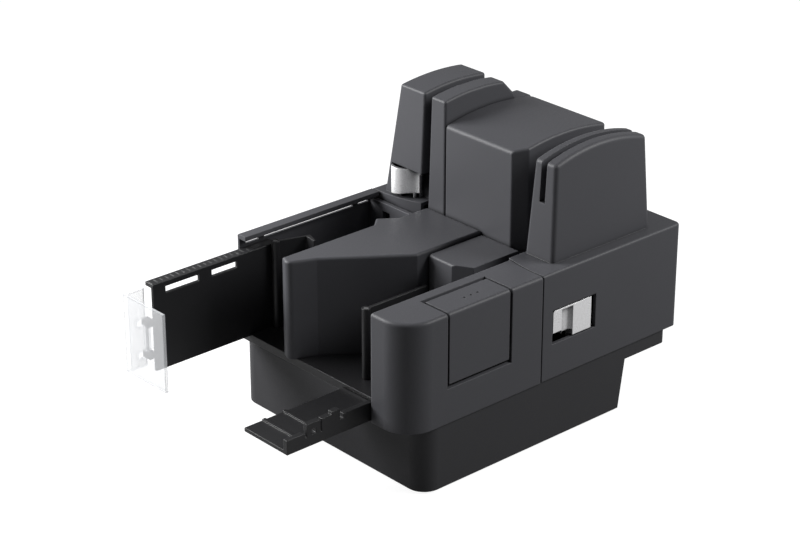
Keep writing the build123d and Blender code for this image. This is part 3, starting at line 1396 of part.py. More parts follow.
with BuildPart() as pressure_plate:
    x, y = pusher_pivot
    block(x - pusher_thickness / 2, x + pusher_thickness / 2, y, pusher_back,
          floor_top + touch_gap, floor_top + pusher_height)
    post(x, y, floor_top + touch_gap, floor_top + pusher_height, pivot_barrel_radius)
    post(x, y, floor_top, floor_top + pusher_height, pivot_radius + fit_gap, mode=Mode.SUBTRACT)
finish("pressure_plate", pressure_plate)

with BuildPart() as pocket_flap:
    with BuildSketch(Plane.XY.offset(floor_top + touch_gap)):
        x, y = pocket_flap_pivot
        fold_x, fold_y = x + flap_fold[0], y + flap_fold[1]
        tip_x, tip_y = x + flap_tip[0], y + flap_tip[1]
        Polygon((x, y), (fold_x, fold_y), (tip_x, tip_y), (tip_x, tip_y - pocket_flap_thickness),
                (fold_x, fold_y - 2 * pocket_flap_thickness), (x + pocket_flap_thickness, y),
                align=None)
        with Locations(pocket_flap_pivot):
            Circle(pivot_barrel_radius)
            Circle(pivot_radius + fit_gap, mode=Mode.SUBTRACT)
    extrude(amount=pocket_flap_height)
finish("pocket_flap", pocket_flap)

# ======== sensors, board and sockets ========
with BuildPart() as inner_image_sensor:
    block(right_inner - glass_thickness - sensor_depth, right_inner - glass_thickness,
          sensor_y - sensor_length / 2, sensor_y + sensor_length / 2, floor_top, sensor_top)
finish("inner_image_sensor", inner_image_sensor)

with BuildPart() as inner_sensor_glass:
    block(right_inner - glass_thickness, right_inner, sensor_y - sensor_length / 2,
          sensor_y + sensor_length / 2, floor_top, sensor_top)
finish("inner_sensor_glass", inner_sensor_glass)

with BuildPart() as outer_image_sensor:
    block(right_outer + glass_thickness, right_outer + glass_thickness + sensor_depth,
          sensor_y - sensor_length / 2, sensor_y + sensor_length / 2, floor_top + touch_gap, sensor_top)
    block(right_outer + panel_wall, right_outer + glass_thickness + sensor_depth,
          sensor_y - sensor_length / 2 - sensor_flange, sensor_y + sensor_length / 2 + sensor_flange,
          floor_top + touch_gap, sensor_top)
finish("outer_image_sensor", outer_image_sensor)

with BuildPart() as outer_sensor_glass:
    block(right_outer, right_outer + glass_thickness, sensor_y - sensor_length / 2,
          sensor_y + sensor_length / 2, floor_top + touch_gap, sensor_top)
finish("outer_sensor_glass", outer_sensor_glass)

with BuildPart() as magnetic_head:
    block(left_inner - head_proud, left_inner + head_size, head_y - head_size / 2,
          head_y + head_size / 2, floor_top, floor_top + head_height)
    fillet(magnetic_head.edges().filter_by(Axis.Z).group_by(Axis.X)[0], soft_edge)
finish("magnetic_head", magnetic_head)

with BuildPart() as card_reader_head:
    block(card_slot_x - reader_depth, card_slot_x + reader_proud, reader_front,
          reader_front + reader_length, reader_low, reader_low + reader_height)
finish("card_reader_head", card_reader_head)

with BuildPart() as main_board:
    block(board_left, board_right, board_front, board_back, board_low, board_top)
    for across, back in chip_places:
        x, y = board_left + across, board_front + back
        block(x - chip_half, x + chip_half, y - chip_half, y + chip_half, board_top,
              board_top + board_thickness)
finish("main_board", main_board)

with BuildPart() as usb_socket:
    block(usb_x - usb_width / 2, usb_x + usb_width / 2, socket_front, socket_back, board_top,
          board_top + usb_height)
    block(usb_x - usb_width / 2 + socket_wall, usb_x + usb_width / 2 - socket_wall,
          (socket_front + socket_back) / 2, socket_back, board_top + socket_wall,
          board_top + usb_height - socket_wall, mode=Mode.SUBTRACT)
    block(usb_x - usb_tongue / 2, usb_x + usb_tongue / 2, socket_front, socket_back - socket_wall,
          board_top + usb_height / 2 - socket_wall, board_top + usb_height / 2 + socket_wall)
finish("usb_socket", usb_socket)

with BuildPart() as dc_inlet:
    block(inlet_x - inlet_radius, inlet_x + inlet_radius, socket_front, board_back, board_top,
          board_top + 2 * inlet_radius)
    with Locations((inlet_x, board_back, inlet_z)):
        Cylinder(inlet_radius, 2 * inlet_nose, rotation=(90, 0, 0))
    with Locations((inlet_x, board_back + inlet_nose - inlet_bore_depth / 2, inlet_z)):
        Cylinder(inlet_bore_radius, inlet_bore_depth, rotation=(90, 0, 0), mode=Mode.SUBTRACT)
        Cylinder(inlet_pin_radius, inlet_bore_depth, rotation=(90, 0, 0))
finish("dc_inlet", dc_inlet)

os.makedirs("parts", exist_ok=True)
for label, part in pieces.items():
    export_step(part, f"parts/{label}.step")
print(len(pieces), "pieces written")
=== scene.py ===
import bpy
import bmesh
import json
from math import radians, sin, cos, pi
from mathutils import Vector, Matrix


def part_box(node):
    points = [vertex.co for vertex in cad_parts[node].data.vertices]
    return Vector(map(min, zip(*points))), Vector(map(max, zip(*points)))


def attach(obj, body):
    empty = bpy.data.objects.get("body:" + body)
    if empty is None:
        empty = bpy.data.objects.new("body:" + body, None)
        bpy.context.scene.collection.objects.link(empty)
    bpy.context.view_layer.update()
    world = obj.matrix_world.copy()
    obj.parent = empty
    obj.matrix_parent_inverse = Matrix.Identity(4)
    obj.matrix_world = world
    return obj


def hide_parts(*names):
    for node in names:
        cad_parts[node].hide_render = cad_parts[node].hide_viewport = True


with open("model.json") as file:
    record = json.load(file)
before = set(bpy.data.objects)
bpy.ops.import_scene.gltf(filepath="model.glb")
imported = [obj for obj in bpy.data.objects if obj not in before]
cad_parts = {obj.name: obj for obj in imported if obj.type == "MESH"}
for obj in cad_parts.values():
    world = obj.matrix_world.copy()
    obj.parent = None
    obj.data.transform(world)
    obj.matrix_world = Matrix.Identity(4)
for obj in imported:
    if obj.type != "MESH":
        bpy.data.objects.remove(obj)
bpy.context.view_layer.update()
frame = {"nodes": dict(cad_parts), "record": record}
mm = 0.001
print("frame loaded:", len(frame["nodes"]), "nodes")


# small helpers for every node tree
def add(tree, kind, feeds, **settings):
    # one node with its settings and what feeds it, giving its first output
    node = tree.nodes.new(kind)
    for key, value in settings.items():
        setattr(node, key, value)
    for key, value in feeds.items():
        if isinstance(value, bpy.types.NodeSocket):
            tree.links.new(value, node.inputs[key])
        else:
            node.inputs[key].default_value = value
    return node.outputs[0]


def maths(tree, operation, first, second=0.0):
    return add(tree, "ShaderNodeMath", {0: first, 1: second}, operation=operation)


# shader trees
mixSockets = dict(first=6, second=7, result=2)          # the colour sockets of a Mix node
edgeMask = dict(samples=6, starts=0.995, full=0.86)     # true normal dot rounded normal
hollowMask = dict(samples=8, starts=0.93)               # openness under which dust starts
grainSpan = (0.3, 0.7)                                  # where most of a noise's values lie


def newMaterial(name):
    mat = bpy.data.materials.new(name)
    mat.use_nodes = True
    tree = mat.node_tree
    tree.nodes.clear()
    out = tree.nodes.new("ShaderNodeOutputMaterial")
    shader = tree.nodes.new("ShaderNodeBsdfPrincipled")
    tree.links.new(shader.outputs["BSDF"], out.inputs["Surface"])
    return mat, tree, shader


def noise(tree, place, scale, detail):
    return add(tree, "ShaderNodeTexNoise", {"Vector": place, "Scale": scale, "Detail": detail})


def objectPlace(tree, stretch=(1, 1, 1)):
    # object coordinates, stretched along an axis for a brushed finish
    coord = tree.nodes.new("ShaderNodeTexCoord")
    return add(tree, "ShaderNodeMapping", {"Vector": coord.outputs["Object"], "Scale": stretch})


def mixColour(tree, factor, first, second):
    tone = tree.nodes.new("ShaderNodeMix")
    tone.data_type = "RGBA"
    for label, value in (("first", first), ("second", second)):
        socket = tone.inputs[mixSockets[label]]
        if isinstance(value, bpy.types.NodeSocket):
            tree.links.new(value, socket)
        else:
            socket.default_value = (*value, 1)
    tree.links.new(factor, tone.inputs["Factor"])
    return tone.outputs[mixSockets["result"]]


def remap(tree, value, low, high, toLow, toHigh):
    return add(tree, "ShaderNodeMapRange", {"Value": value, "From Min": low, "From Max": high,
                                            "To Min": toLow, "To Max": toHigh})


def share(tree, mask, most):
    # a mask weakened, so that its full value is only this much
    return remap(tree, mask, 0, 1, 0, most)


def roundedNormal(tree, radius):
    return add(tree, "ShaderNodeBevel", {"Radius": radius}, samples=edgeMask["samples"])


def nearEdge(tree, rounded):
    # 1 where an edge is near, 0 on open faces
    flat = tree.nodes.new("ShaderNodeNewGeometry")
    dot = tree.nodes.new("ShaderNodeVectorMath")
    dot.operation = "DOT_PRODUCT"
    tree.links.new(rounded, dot.inputs[0])
    tree.links.new(flat.outputs["Normal"], dot.inputs[1])
    return remap(tree, dot.outputs["Value"], edgeMask["starts"], edgeMask["full"], 0, 1)


def hollows(tree, reach, deep):
    # 1 deep in a hollow or gap, 0 out in the open
    shade = tree.nodes.new("ShaderNodeAmbientOcclusion")
    shade.samples = hollowMask["samples"]
    shade.inputs["Distance"].default_value = reach
    return remap(tree, shade.outputs["AO"], hollowMask["starts"], deep, 0, 1)


def twoTone(tree, pattern, look):
    # the finish's colour, lifted a little where the pattern is high
    return mixColour(tree, pattern, look["colour"], [c * look["lift"] for c in look["colour"]])


def roughen(tree, shader, grain, look):
    # roughness goes a little below and above its middle value with the grain
    under, over = look["roughSpread"]
    tree.links.new(remap(tree, grain, *grainSpan, look["rough"] - under, look["rough"] + over),
                   shader.inputs["Roughness"])


def relief(tree, shader, height, normal, look):
    feeds = {"Height": height, "Strength": look["bump"], "Distance": look["depth"]}
    if normal:
        feeds["Normal"] = normal
    tree.links.new(add(tree, "ShaderNodeBump", feeds), shader.inputs["Normal"])


def mouldedPlastic(name, look):
    mat, tree, shader = newMaterial(name)
    place = objectPlace(tree)
    cloud = noise(tree, place, look["cloud"], look["cloudDetail"])      # slow change of tone
    grain = noise(tree, place, look["grain"], look["grainDetail"])      # spark-eroded mould grain
    normal = roundedNormal(tree, look["edge"])
    rubbed = share(tree, nearEdge(tree, normal), look["rub"])
    worn = mixColour(tree, rubbed, twoTone(tree, cloud, look), look["rubColour"])
    dust = share(tree, hollows(tree, look["reach"], look["deep"]), look["grime"])
    tree.links.new(mixColour(tree, dust, worn, look["grimeColour"]), shader.inputs["Base Color"])
    roughen(tree, shader, grain, look)
    relief(tree, shader, grain, normal, look)
    shader.inputs["Specular IOR Level"].default_value = look["shine"]
    shader.inputs["Metallic"].default_value = look["metal"]
    return mat


housingLook = dict(
    colour=(0.058, 0.0585, 0.0645), lift=1.10, cloud=18, cloudDetail=2.0,
    grain=1500, grainDetail=3.0, bump=0.30, depth=0.00005,
    rough=0.46, roughSpread=(0.05, 0.07), shine=0.22, metal=0.0,
    edge=0.0007, rub=0.35, rubColour=(0.11, 0.11, 0.12),
    reach=0.003, deep=0.45, grime=0.55, grimeColour=(0.012, 0.012, 0.013),
)
baseLook = dict(housingLook, colour=(0.031, 0.031, 0.0335), rubColour=(0.06, 0.06, 0.064))
innerLook = dict(
    housingLook, colour=(0.0105, 0.0105, 0.0115), lift=1.25, grain=900, rough=0.42, shine=0.35,
    rubColour=(0.03, 0.03, 0.032),
)
latchLook = dict(
    housingLook, colour=(0.88, 0.88, 0.89), lift=1.03, grain=2600, bump=0.10,
    rough=0.28, shine=0.5, metal=0.35, rub=0.45, rubColour=(0.95, 0.95, 0.95),
    reach=0.012, deep=0.64, grime=1.0, grimeColour=(0.035, 0.035, 0.04),
)
rubberLook = dict(
    housingLook, colour=(0.020, 0.020, 0.022), lift=1.35, grain=1100, bump=0.55,
    rough=0.70, shine=0.3, rub=0.5, rubColour=(0.045, 0.045, 0.047),
)


def brushedMetal(name, look):
    mat, tree, shader = newMaterial(name)
    lines = noise(tree, objectPlace(tree, look["stretch"]), look["grain"], look["grainDetail"])
    spots = noise(tree, objectPlace(tree), look["cloud"], look["cloudDetail"])
    dull = remap(tree, spots, *look["spotSpan"], 0, look["tarnishShare"])
    metal = mixColour(tree, dull, twoTone(tree, lines, look), look["tarnish"])
    tree.links.new(metal, shader.inputs["Base Color"])
    roughen(tree, shader, lines, look)
    relief(tree, shader, lines, roundedNormal(tree, look["edge"]), look)
    shader.inputs["Metallic"].default_value = 1.0
    return mat


steelLook = dict(
    colour=(0.46, 0.46, 0.47), lift=1.2, stretch=(1, 1, 0.05),
    grain=900, grainDetail=4.0, bump=0.3, depth=0.00003,
    cloud=60, cloudDetail=3.0, spotSpan=(0.55, 0.8), tarnish=(0.30, 0.29, 0.28), tarnishShare=0.35,
    rough=0.32, roughSpread=(0.06, 0.10), edge=0.0003,
)
brassLook = dict(steelLook, colour=(0.58, 0.42, 0.18), tarnish=(0.30, 0.20, 0.08), rough=0.3)


def clearPlastic(name, look):
    # clear sheet: nearly gone face on, greyer and more solid at its rim and seen edgeways
    mat, tree, shader = newMaterial(name)
    ripple = noise(tree, objectPlace(tree), look["ripple"], look["rippleDetail"])
    edge = nearEdge(tree, roundedNormal(tree, look["edge"]))
    tint = mixColour(tree, edge, twoTone(tree, ripple, look), look["edgeColour"])
    tree.links.new(tint, shader.inputs["Base Color"])
    relief(tree, shader, ripple, None, look)
    along = tree.nodes.new("ShaderNodeLayerWeight")
    along.inputs["Blend"].default_value = look["spread"]
    sheet = remap(tree, along.outputs["Facing"], 0, 1, look["faceOn"], look["edgeOn"])
    solid = maths(tree, "MAXIMUM", sheet, share(tree, edge, look["rim"]))
    tree.links.new(solid, shader.inputs["Alpha"])
    shader.inputs["Roughness"].default_value = look["rough"]
    shader.inputs["Specular IOR Level"].default_value = look["shine"]
    return mat


clearLook = dict(
    colour=(0.72, 0.73, 0.745), lift=1.05, ripple=60, rippleDetail=1.5, bump=0.06, depth=0.0003,
    rough=0.06, shine=0.5, spread=0.35, faceOn=0.12, edgeOn=0.75,
    edge=0.0013, rim=0.75, edgeColour=(0.36, 0.37, 0.39),
)
glassLook = dict(
    clearLook, colour=(0.20, 0.22, 0.23), edgeColour=(0.10, 0.12, 0.12), faceOn=0.35, edgeOn=0.9,
    ripple=20, rough=0.03,
)


def solderMask(name, look):
    # green board with copper tracks showing through the lacquer
    mat, tree, shader = newMaterial(name)
    place = objectPlace(tree)
    tracks = tree.nodes.new("ShaderNodeTexBrick")
    tracks.inputs["Scale"].default_value = look["trackScale"]
    tracks.inputs["Mortar Size"].default_value = look["trackWidth"]
    tree.links.new(place, tracks.inputs["Vector"])
    track = tracks.outputs["Fac"]
    lacquer = twoTone(tree, noise(tree, place, look["grain"], look["grainDetail"]), look)
    board = mixColour(tree, track, lacquer, look["copper"])
    tree.links.new(board, shader.inputs["Base Color"])
    relief(tree, shader, track, None, look)
    shader.inputs["Roughness"].default_value = look["rough"]
    return mat


boardLook = dict(
    colour=(0.02, 0.11, 0.045), lift=1.2, grain=700, grainDetail=2.0, rough=0.32,
    copper=(0.10, 0.20, 0.07), trackScale=160, trackWidth=0.03, bump=0.3, depth=0.00004,
)

finishes = {
    "housing_plastic": mouldedPlastic("housingPlastic", housingLook),
    "base_plastic": mouldedPlastic("basePlastic", baseLook),
    "inner_plastic": mouldedPlastic("innerPlastic", innerLook),
    "latch_plastic": mouldedPlastic("silverLatch", latchLook),
    "roller_rubber": mouldedPlastic("rollerRubber", rubberLook),
    "steel": brushedMetal("brushedSteel", steelLook),
    "bush_brass": brushedMetal("bushBrass", brassLook),
    "board": solderMask("circuitBoard", boardLook),
    "clear_plastic": clearPlastic("clearStopper", clearLook),
    "sensor_glass": clearPlastic("sensorGlass", glassLook),
}

for sub in frame["record"]["subparts"]:
    node = frame["nodes"][sub["node"]]
    node.data.materials.clear()
    node.data.materials.append(finishes[sub["material_slot"]])
print("finishes set on the solids")


# geometry trees and meshes
meshCare = dict(mergeWithin=1e-6, sharpFrom=32, turnSides=48)       # metres, degrees, facets


def newTree(name, sizes):
    tree = bpy.data.node_groups.new(name, "GeometryNodeTree")
    tree.interface.new_socket("Points", in_out="INPUT", socket_type="NodeSocketGeometry")
    for label, kind in sizes.items():
        tree.interface.new_socket(label, in_out="INPUT", socket_type="NodeSocket" + kind)
    tree.interface.new_socket("Mesh", in_out="OUTPUT", socket_type="NodeSocketGeometry")
    return tree, tree.nodes.new("NodeGroupInput").outputs


def joined(tree, shapes):
    join = tree.nodes.new("GeometryNodeJoinGeometry")
    for shape in shapes:
        tree.links.new(shape, join.inputs[0])
    return join.outputs[0]


def offMiddle(tree):
    # 0 halfway along a curve, 1 at its ends
    along = add(tree, "GeometryNodeSplineParameter", {})
    return maths(tree, "ABSOLUTE", maths(tree, "SUBTRACT", maths(tree, "MULTIPLY", along, 2), 1))


def closeTree(tree, shape, finish):
    real = add(tree, "GeometryNodeRealizeInstances", {0: shape})
    done = add(tree, "GeometryNodeSetMaterial", {"Geometry": real, "Material": finish})
    tree.links.new(done, tree.nodes.new("NodeGroupOutput").inputs[0])


def placedAll(tree, given, shape, finish):
    # a copy of the shape on every point
    copies = add(tree, "GeometryNodeInstanceOnPoints", {"Points": given["Points"],
                                                        "Instance": shape})
    closeTree(tree, copies, finish)


def grown(name, tree, points, sizes, spans=None):
    # the tree grown on loose points, then turned into a plain mesh
    mesh = bpy.data.meshes.new(name + "Points")
    mesh.from_pydata([[c * mm for c in point] for point in points], [], [])
    if spans:
        lengths = mesh.attributes.new("span", "FLOAT", "POINT")
        lengths.data.foreach_set("value", [s * mm for s in spans])
    host = bpy.data.objects.new(name + "Points", mesh)
    bpy.context.collection.objects.link(host)
    growth = host.modifiers.new("growth", "NODES")
    growth.node_group = tree
    for item in tree.interface.items_tree:
        if item.in_out == "INPUT" and item.name in sizes:
            growth[item.identifier] = sizes[item.name]
    ready = host.evaluated_get(bpy.context.evaluated_depsgraph_get())
    plain = bpy.data.meshes.new_from_object(ready)
    host.modifiers.remove(growth)
    bpy.data.objects.remove(host)
    return plain


def turned(name, profile, centres, finish):
    # a profile of (radius, height) spun about upright axes; it starts and ends on the axis
    sides = meshCare["turnSides"]
    angles = [2 * pi * step / sides for step in range(sides)]
    work = bmesh.new()
    for x, y in centres:
        rings = []
        for radius, height in profile:
            if radius == 0:
                rings.append([work.verts.new((x * mm, y * mm, height * mm))])
                continue
            rings.append([work.verts.new(((x + radius * cos(a)) * mm, (y + radius * sin(a)) * mm,
                                          height * mm)) for a in angles])
        for low, high in zip(rings, rings[1:]):
            for step in range(sides):
                following = (step + 1) % sides
                if len(low) == 1:
                    corners = (low[0], high[following], high[step])
                elif len(high) == 1:
                    corners = (low[step], low[following], high[0])
                else:
                    corners = (low[step], low[following], high[following], high[step])
                work.faces.new(corners)
    mesh = bpy.data.meshes.new(name)
    work.to_mesh(mesh)
    work.free()
    mesh.materials.append(finish)
    return mesh


def finished(name, mesh, body, nodes=()):
    # closed shells face outwards, corners stay crisp, and the piece rides with its body
    work = bmesh.new()
    work.from_mesh(mesh)
    bmesh.ops.remove_doubles(work, verts=work.verts, dist=meshCare["mergeWithin"])
    bmesh.ops.recalc_face_normals(work, faces=work.faces)
    work.to_mesh(mesh)
    work.free()
    mesh.polygons.foreach_set("use_smooth", [True] * len(mesh.polygons))
    mesh.set_sharp_from_angle(angle=radians(meshCare["sharpFrom"]))
    mesh.name = name
    piece = bpy.data.objects.new(name, mesh)
    bpy.context.collection.objects.link(piece)
    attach(piece, body)
    if nodes:
        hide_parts(*nodes)


# rollers: fluted rubber tyres on turned steel shafts
# sizes here and below are in millimetres; hub and crown are shares of the tyre's radius
roller = dict(
    flutes=26, fluteDepth=0.28, fluteCorners=4, ribCorners=2,
    crown=0.07, crownPower=7, crownSteps=13, cheek=0.7, hub=0.74, chamfer=0.4,
    clip=0.5, clipDrop=2.2, clipWidth=0.8, pulleyFlange=0.6, pulleySeat=0.35,
)
driveSet = dict(levels=(58, 92), width=12, shaft=2.5, pulley=8)
pinchSet = dict(levels=(58, 92), width=12, shaft=1.5, pulley=0)
feedSet = dict(levels=(56,), width=14, shaft=2.5, pulley=6)
belt = dict(low=38.1, width=4.0)
rollerSets = {
    "feed_roller": feedSet,
    "pickup_roller": feedSet,
    "separation_roller": dict(feedSet, pulley=0),
    "drive_roller_1": driveSet,
    "drive_roller_2": driveSet,
    "drive_roller_3": driveSet,
    "drive_roller_4": driveSet,
    "pinch_roller_1": pinchSet,
    "pinch_roller_2": pinchSet,
    "pinch_roller_3": pinchSet,
    "pinch_roller_4": pinchSet,
}


def flutedTyre():
    tree, given = newTree("flutedTyre", {
        "Tyre Radius": "Float", "Tyre Height": "Float", "Flutes": "Int", "Flute Depth": "Float",
        "Crown": "Float", "Rubber": "Material"})
    # of a flute's four corners on the ring, two stay out as the rib and two are pulled in
    corners = maths(tree, "MULTIPLY", given["Flutes"], roller["fluteCorners"])
    ring = add(tree, "GeometryNodeCurvePrimitiveCircle", {"Resolution": corners,
                                                          "Radius": given["Tyre Radius"]})
    corner = maths(tree, "MODULO", add(tree, "GeometryNodeInputIndex", {}), roller["fluteCorners"])
    groove = maths(tree, "GREATER_THAN", corner, roller["ribCorners"] - 0.5)
    depth = maths(tree, "DIVIDE", given["Flute Depth"], given["Tyre Radius"])
    pull = maths(tree, "MULTIPLY", groove, maths(tree, "MULTIPLY", depth, -1))
    inward = add(tree, "ShaderNodeVectorMath", {0: add(tree, "GeometryNodeInputPosition", {}),
                                                "Scale": pull}, operation="SCALE")
    fluted = add(tree, "GeometryNodeSetPosition", {"Geometry": ring, "Offset": inward})
    # swept up the axis, a little fuller in the middle
    top = add(tree, "ShaderNodeCombineXYZ", {"Z": given["Tyre Height"]})
    axis = add(tree, "GeometryNodeCurvePrimitiveLine", {"End": top})
    steps = add(tree, "GeometryNodeResampleCurve", {"Curve": axis, "Count": roller["crownSteps"]})
    drop = maths(tree, "POWER", offMiddle(tree), roller["crownPower"])
    size = maths(tree, "SUBTRACT", 1, maths(tree, "MULTIPLY", drop, given["Crown"]))
    tyre = add(tree, "GeometryNodeCurveToMesh", {"Curve": steps, "Profile Curve": fluted,
                                                 "Scale": size, "Fill Caps": True})
    placedAll(tree, given, tyre, given["Rubber"])
    return tree


def shaftProfile(kind, radius, bottom, top):
    # from the foot of the shaft up: pulley, hubs under the tyres, clip groove
    shaft, hub, cut = kind["shaft"], roller["hub"] * radius, roller["chamfer"]
    profile = [(0, bottom), (shaft - cut, bottom), (shaft, bottom + cut)]
    if kind["pulley"]:
        wheel, seat = kind["pulley"], kind["pulley"] - roller["pulleySeat"]
        start, end = max(belt["low"], bottom + cut), belt["low"] + belt["width"]
        seatLow, seatHigh = start + roller["pulleyFlange"], end - roller["pulleyFlange"]
        profile += [(shaft, start), (wheel, start), (wheel, seatLow), (seat, seatLow),
                    (seat, seatHigh), (wheel, seatHigh), (wheel, end), (shaft, end)]
    for level in kind["levels"]:
        over = level + kind["width"]
        profile += [(shaft, level), (hub - cut, level), (hub, level + cut),
                    (hub, over - cut), (hub - cut, over), (shaft, over)]
    clipTop = top - roller["clipDrop"]
    clipLow = clipTop - roller["clipWidth"]
    profile += [(shaft, clipLow), (shaft - roller["clip"], clipLow),
                (shaft - roller["clip"], clipTop), (shaft, clipTop)]
    return profile + [(shaft, top - cut), (shaft - cut, top), (0, top)]


def rollerPieces():
    tree = flutedTyre()
    for name, kind in rollerSets.items():
        low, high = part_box(name)
        x, y = (low[0] + high[0]) / 2 / mm, (low[1] + high[1]) / 2 / mm
        radius = (high[0] - low[0]) / 2 / mm
        bottom, top = low[2] / mm, high[2] / mm
        spots = [(x, y, level + roller["cheek"]) for level in kind["levels"]]
        tyres = grown(name, tree, spots, {
            "Tyre Radius": radius * mm, "Tyre Height": (kind["width"] - 2 * roller["cheek"]) * mm,
            "Flutes": roller["flutes"], "Flute Depth": roller["fluteDepth"] * mm,
            "Crown": roller["crown"], "Rubber": finishes["roller_rubber"]})
        finished(name + ".tyres", tyres, name, [name])
        profile = shaftProfile(kind, radius, bottom, top)
        shaft = turned(name + ".shaft", profile, [(x, y)], finishes["steel"])
        finished(name + ".shaft", shaft, name, [name])


# raised beads that carry the paper past the guide walls, and grip ridges on the eject tray
beads = dict(
    radius=0.35, middle=(76, 80, 84, 88), topRow=107.5, bottomRow=53,
    sides=8, steps=11, taper=0.7, taperPower=8,
    ridgeRadius=0.45, ridgeSink=0.25, ridgePitch=4.2, ridgeSpan=5.6, ridgeFrom=-158, ridgeTo=-66,
)
# for each wall: x, body, then the runs along y of its middle, top and bottom rows
beadWalls = {
    "guideBeadsRight": (46.3, "scanner", ((34, 54.5), (69.5, 95)), ((34, 95),),
                        ((34, 54.5), (69.5, 95))),
    "guideBeadsLeft": (-39.3, "scanner", ((34, 95),), ((34, 95),), ((34, 83),)),
    "coverBeadsRight": (51.3, "right_cover",
                        ((19.5, 32.5), (47.5, 54), (70.5, 76.5), (91.5, 95.5)), (), ()),
    "coverBeadsLeft": (-44.3, "left_cover", ((37.5, 52.5), (67.5, 95)), (), ()),
}


def taperedBead():
    tree, given = newTree("taperedBead", {"Bead Radius": "Float", "Along": "Vector",
                                          "Plastic": "Material"})
    line = add(tree, "GeometryNodeCurvePrimitiveLine", {"End": given["Along"]})
    span = add(tree, "GeometryNodeInputNamedAttribute", {"Name": "span"}, data_type="FLOAT")
    lines = add(tree, "GeometryNodeInstanceOnPoints", {"Points": given["Points"],
                                                       "Instance": line, "Scale": span})
    real = add(tree, "GeometryNodeRealizeInstances", {0: lines})
    steps = add(tree, "GeometryNodeResampleCurve", {"Curve": real, "Count": beads["steps"]})
    drop = maths(tree, "POWER", offMiddle(tree), beads["taperPower"])
    taper = maths(tree, "SUBTRACT", 1, maths(tree, "MULTIPLY", drop, beads["taper"]))
    ring = add(tree, "GeometryNodeCurvePrimitiveCircle", {"Resolution": beads["sides"],
                                                          "Radius": given["Bead Radius"]})
    bead = add(tree, "GeometryNodeCurveToMesh", {"Curve": steps, "Profile Curve": ring,
                                                 "Scale": taper, "Fill Caps": True})
    closeTree(tree, bead, given["Plastic"])
    return tree


def guideBeads(tree):
    for name, (x, body, middle, high, low) in beadWalls.items():
        runs = [(z, run) for z in beads["middle"] for run in middle]
        runs += [(beads["topRow"], run) for run in high]
        runs += [(beads["bottomRow"], run) for run in low]
        starts = [(x, start, z) for z, (start, end) in runs]
        mesh = grown(name, tree, starts, {
            "Bead Radius": beads["radius"] * mm, "Along": (0, 1, 0),
            "Plastic": finishes["inner_plastic"]}, [end - start for z, (start, end) in runs])
        finished(name, mesh, body)


def gripRidges(tree):
    low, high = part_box("eject_extension")
    height = high[2] / mm - beads["ridgeSink"]
    start = (low[0] + high[0]) / 2 / mm - beads["ridgeSpan"] / 2
    count = int((beads["ridgeTo"] - beads["ridgeFrom"]) / beads["ridgePitch"])
    starts = [(start, beads["ridgeFrom"] + beads["ridgePitch"] * step, height)
              for step in range(count)]
    mesh = grown("ejectRidges", tree, starts, {
        "Bead Radius": beads["ridgeRadius"] * mm, "Along": (1, 0, 0),
        "Plastic": finishes["inner_plastic"]}, [beads["ridgeSpan"]] * count)
    finished("ejectRidges", mesh, "eject_extension")


# cross-recess pan screws that hold the chassis up into the base
screw = dict(
    headRadius=3.0, crown=2.3, headLow=1.8, headHigh=3.6, headSides=32,
    shank=1.5, top=44.5, shankSides=24, slot=0.75, reach=3.4, recess=1.1,
    spots=((76.5, 75), (-76.5, 75), (76.5, -75), (-76.5, -75)),
)


def crossScrew():
    tree, given = newTree("crossScrew", {
        "Head Radius": "Float", "Crown Radius": "Float", "Head Depth": "Float",
        "Shank Radius": "Float", "Shank Length": "Float", "Slot": "Vector",
        "Cross Slot": "Vector", "Steel": "Material"})
    head = add(tree, "GeometryNodeMeshCone", {
        "Vertices": screw["headSides"], "Radius Top": given["Head Radius"],
        "Radius Bottom": given["Crown Radius"], "Depth": given["Head Depth"]})
    slots = [add(tree, "GeometryNodeMeshCube", {"Size": given[label]})
             for label in ("Slot", "Cross Slot")]
    cut = add(tree, "GeometryNodeMeshBoolean", {"Mesh 1": head, "Mesh 2": joined(tree, slots)},
              operation="DIFFERENCE")
    shank = add(tree, "GeometryNodeMeshCylinder", {
        "Vertices": screw["shankSides"], "Radius": given["Shank Radius"],
        "Depth": given["Shank Length"]})
    halfShank = maths(tree, "DIVIDE", given["Shank Length"], 2)
    middle = add(tree, "ShaderNodeCombineXYZ", {"Z": maths(tree, "ADD", given["Head Depth"],
                                                           halfShank)})
    lifted = add(tree, "GeometryNodeTransform", {"Geometry": shank, "Translation": middle})
    placedAll(tree, given, joined(tree, (cut, lifted)), given["Steel"])
    return tree


def screwPieces():
    slot, reach, deep = screw["slot"] * mm, screw["reach"] * mm, 2 * screw["recess"] * mm
    spots = [(x, y, screw["headLow"]) for x, y in screw["spots"]]
    mesh = grown("chassisScrews", crossScrew(), spots, {
        "Head Radius": screw["headRadius"] * mm, "Crown Radius": screw["crown"] * mm,
        "Head Depth": (screw["headHigh"] - screw["headLow"]) * mm,
        "Shank Radius": screw["shank"] * mm,
        "Shank Length": (screw["top"] - screw["headHigh"]) * mm,
        "Slot": (reach, slot, deep), "Cross Slot": (slot, reach, deep),
        "Steel": finishes["steel"]})
    finished("chassisScrews", mesh, "scanner", ["chassis_screws"])


# rubber feet with ringed soles
foot = dict(
    radius=8.0, height=2.5, soft=0.5, ring=0.45, rings=(1.8, 3.2, 4.6, 6.0), ringWidth=0.7,
    ringSlope=0.1, spots=((64.5, 63), (-64.5, 63), (64.5, -63), (-64.5, -63)),
)


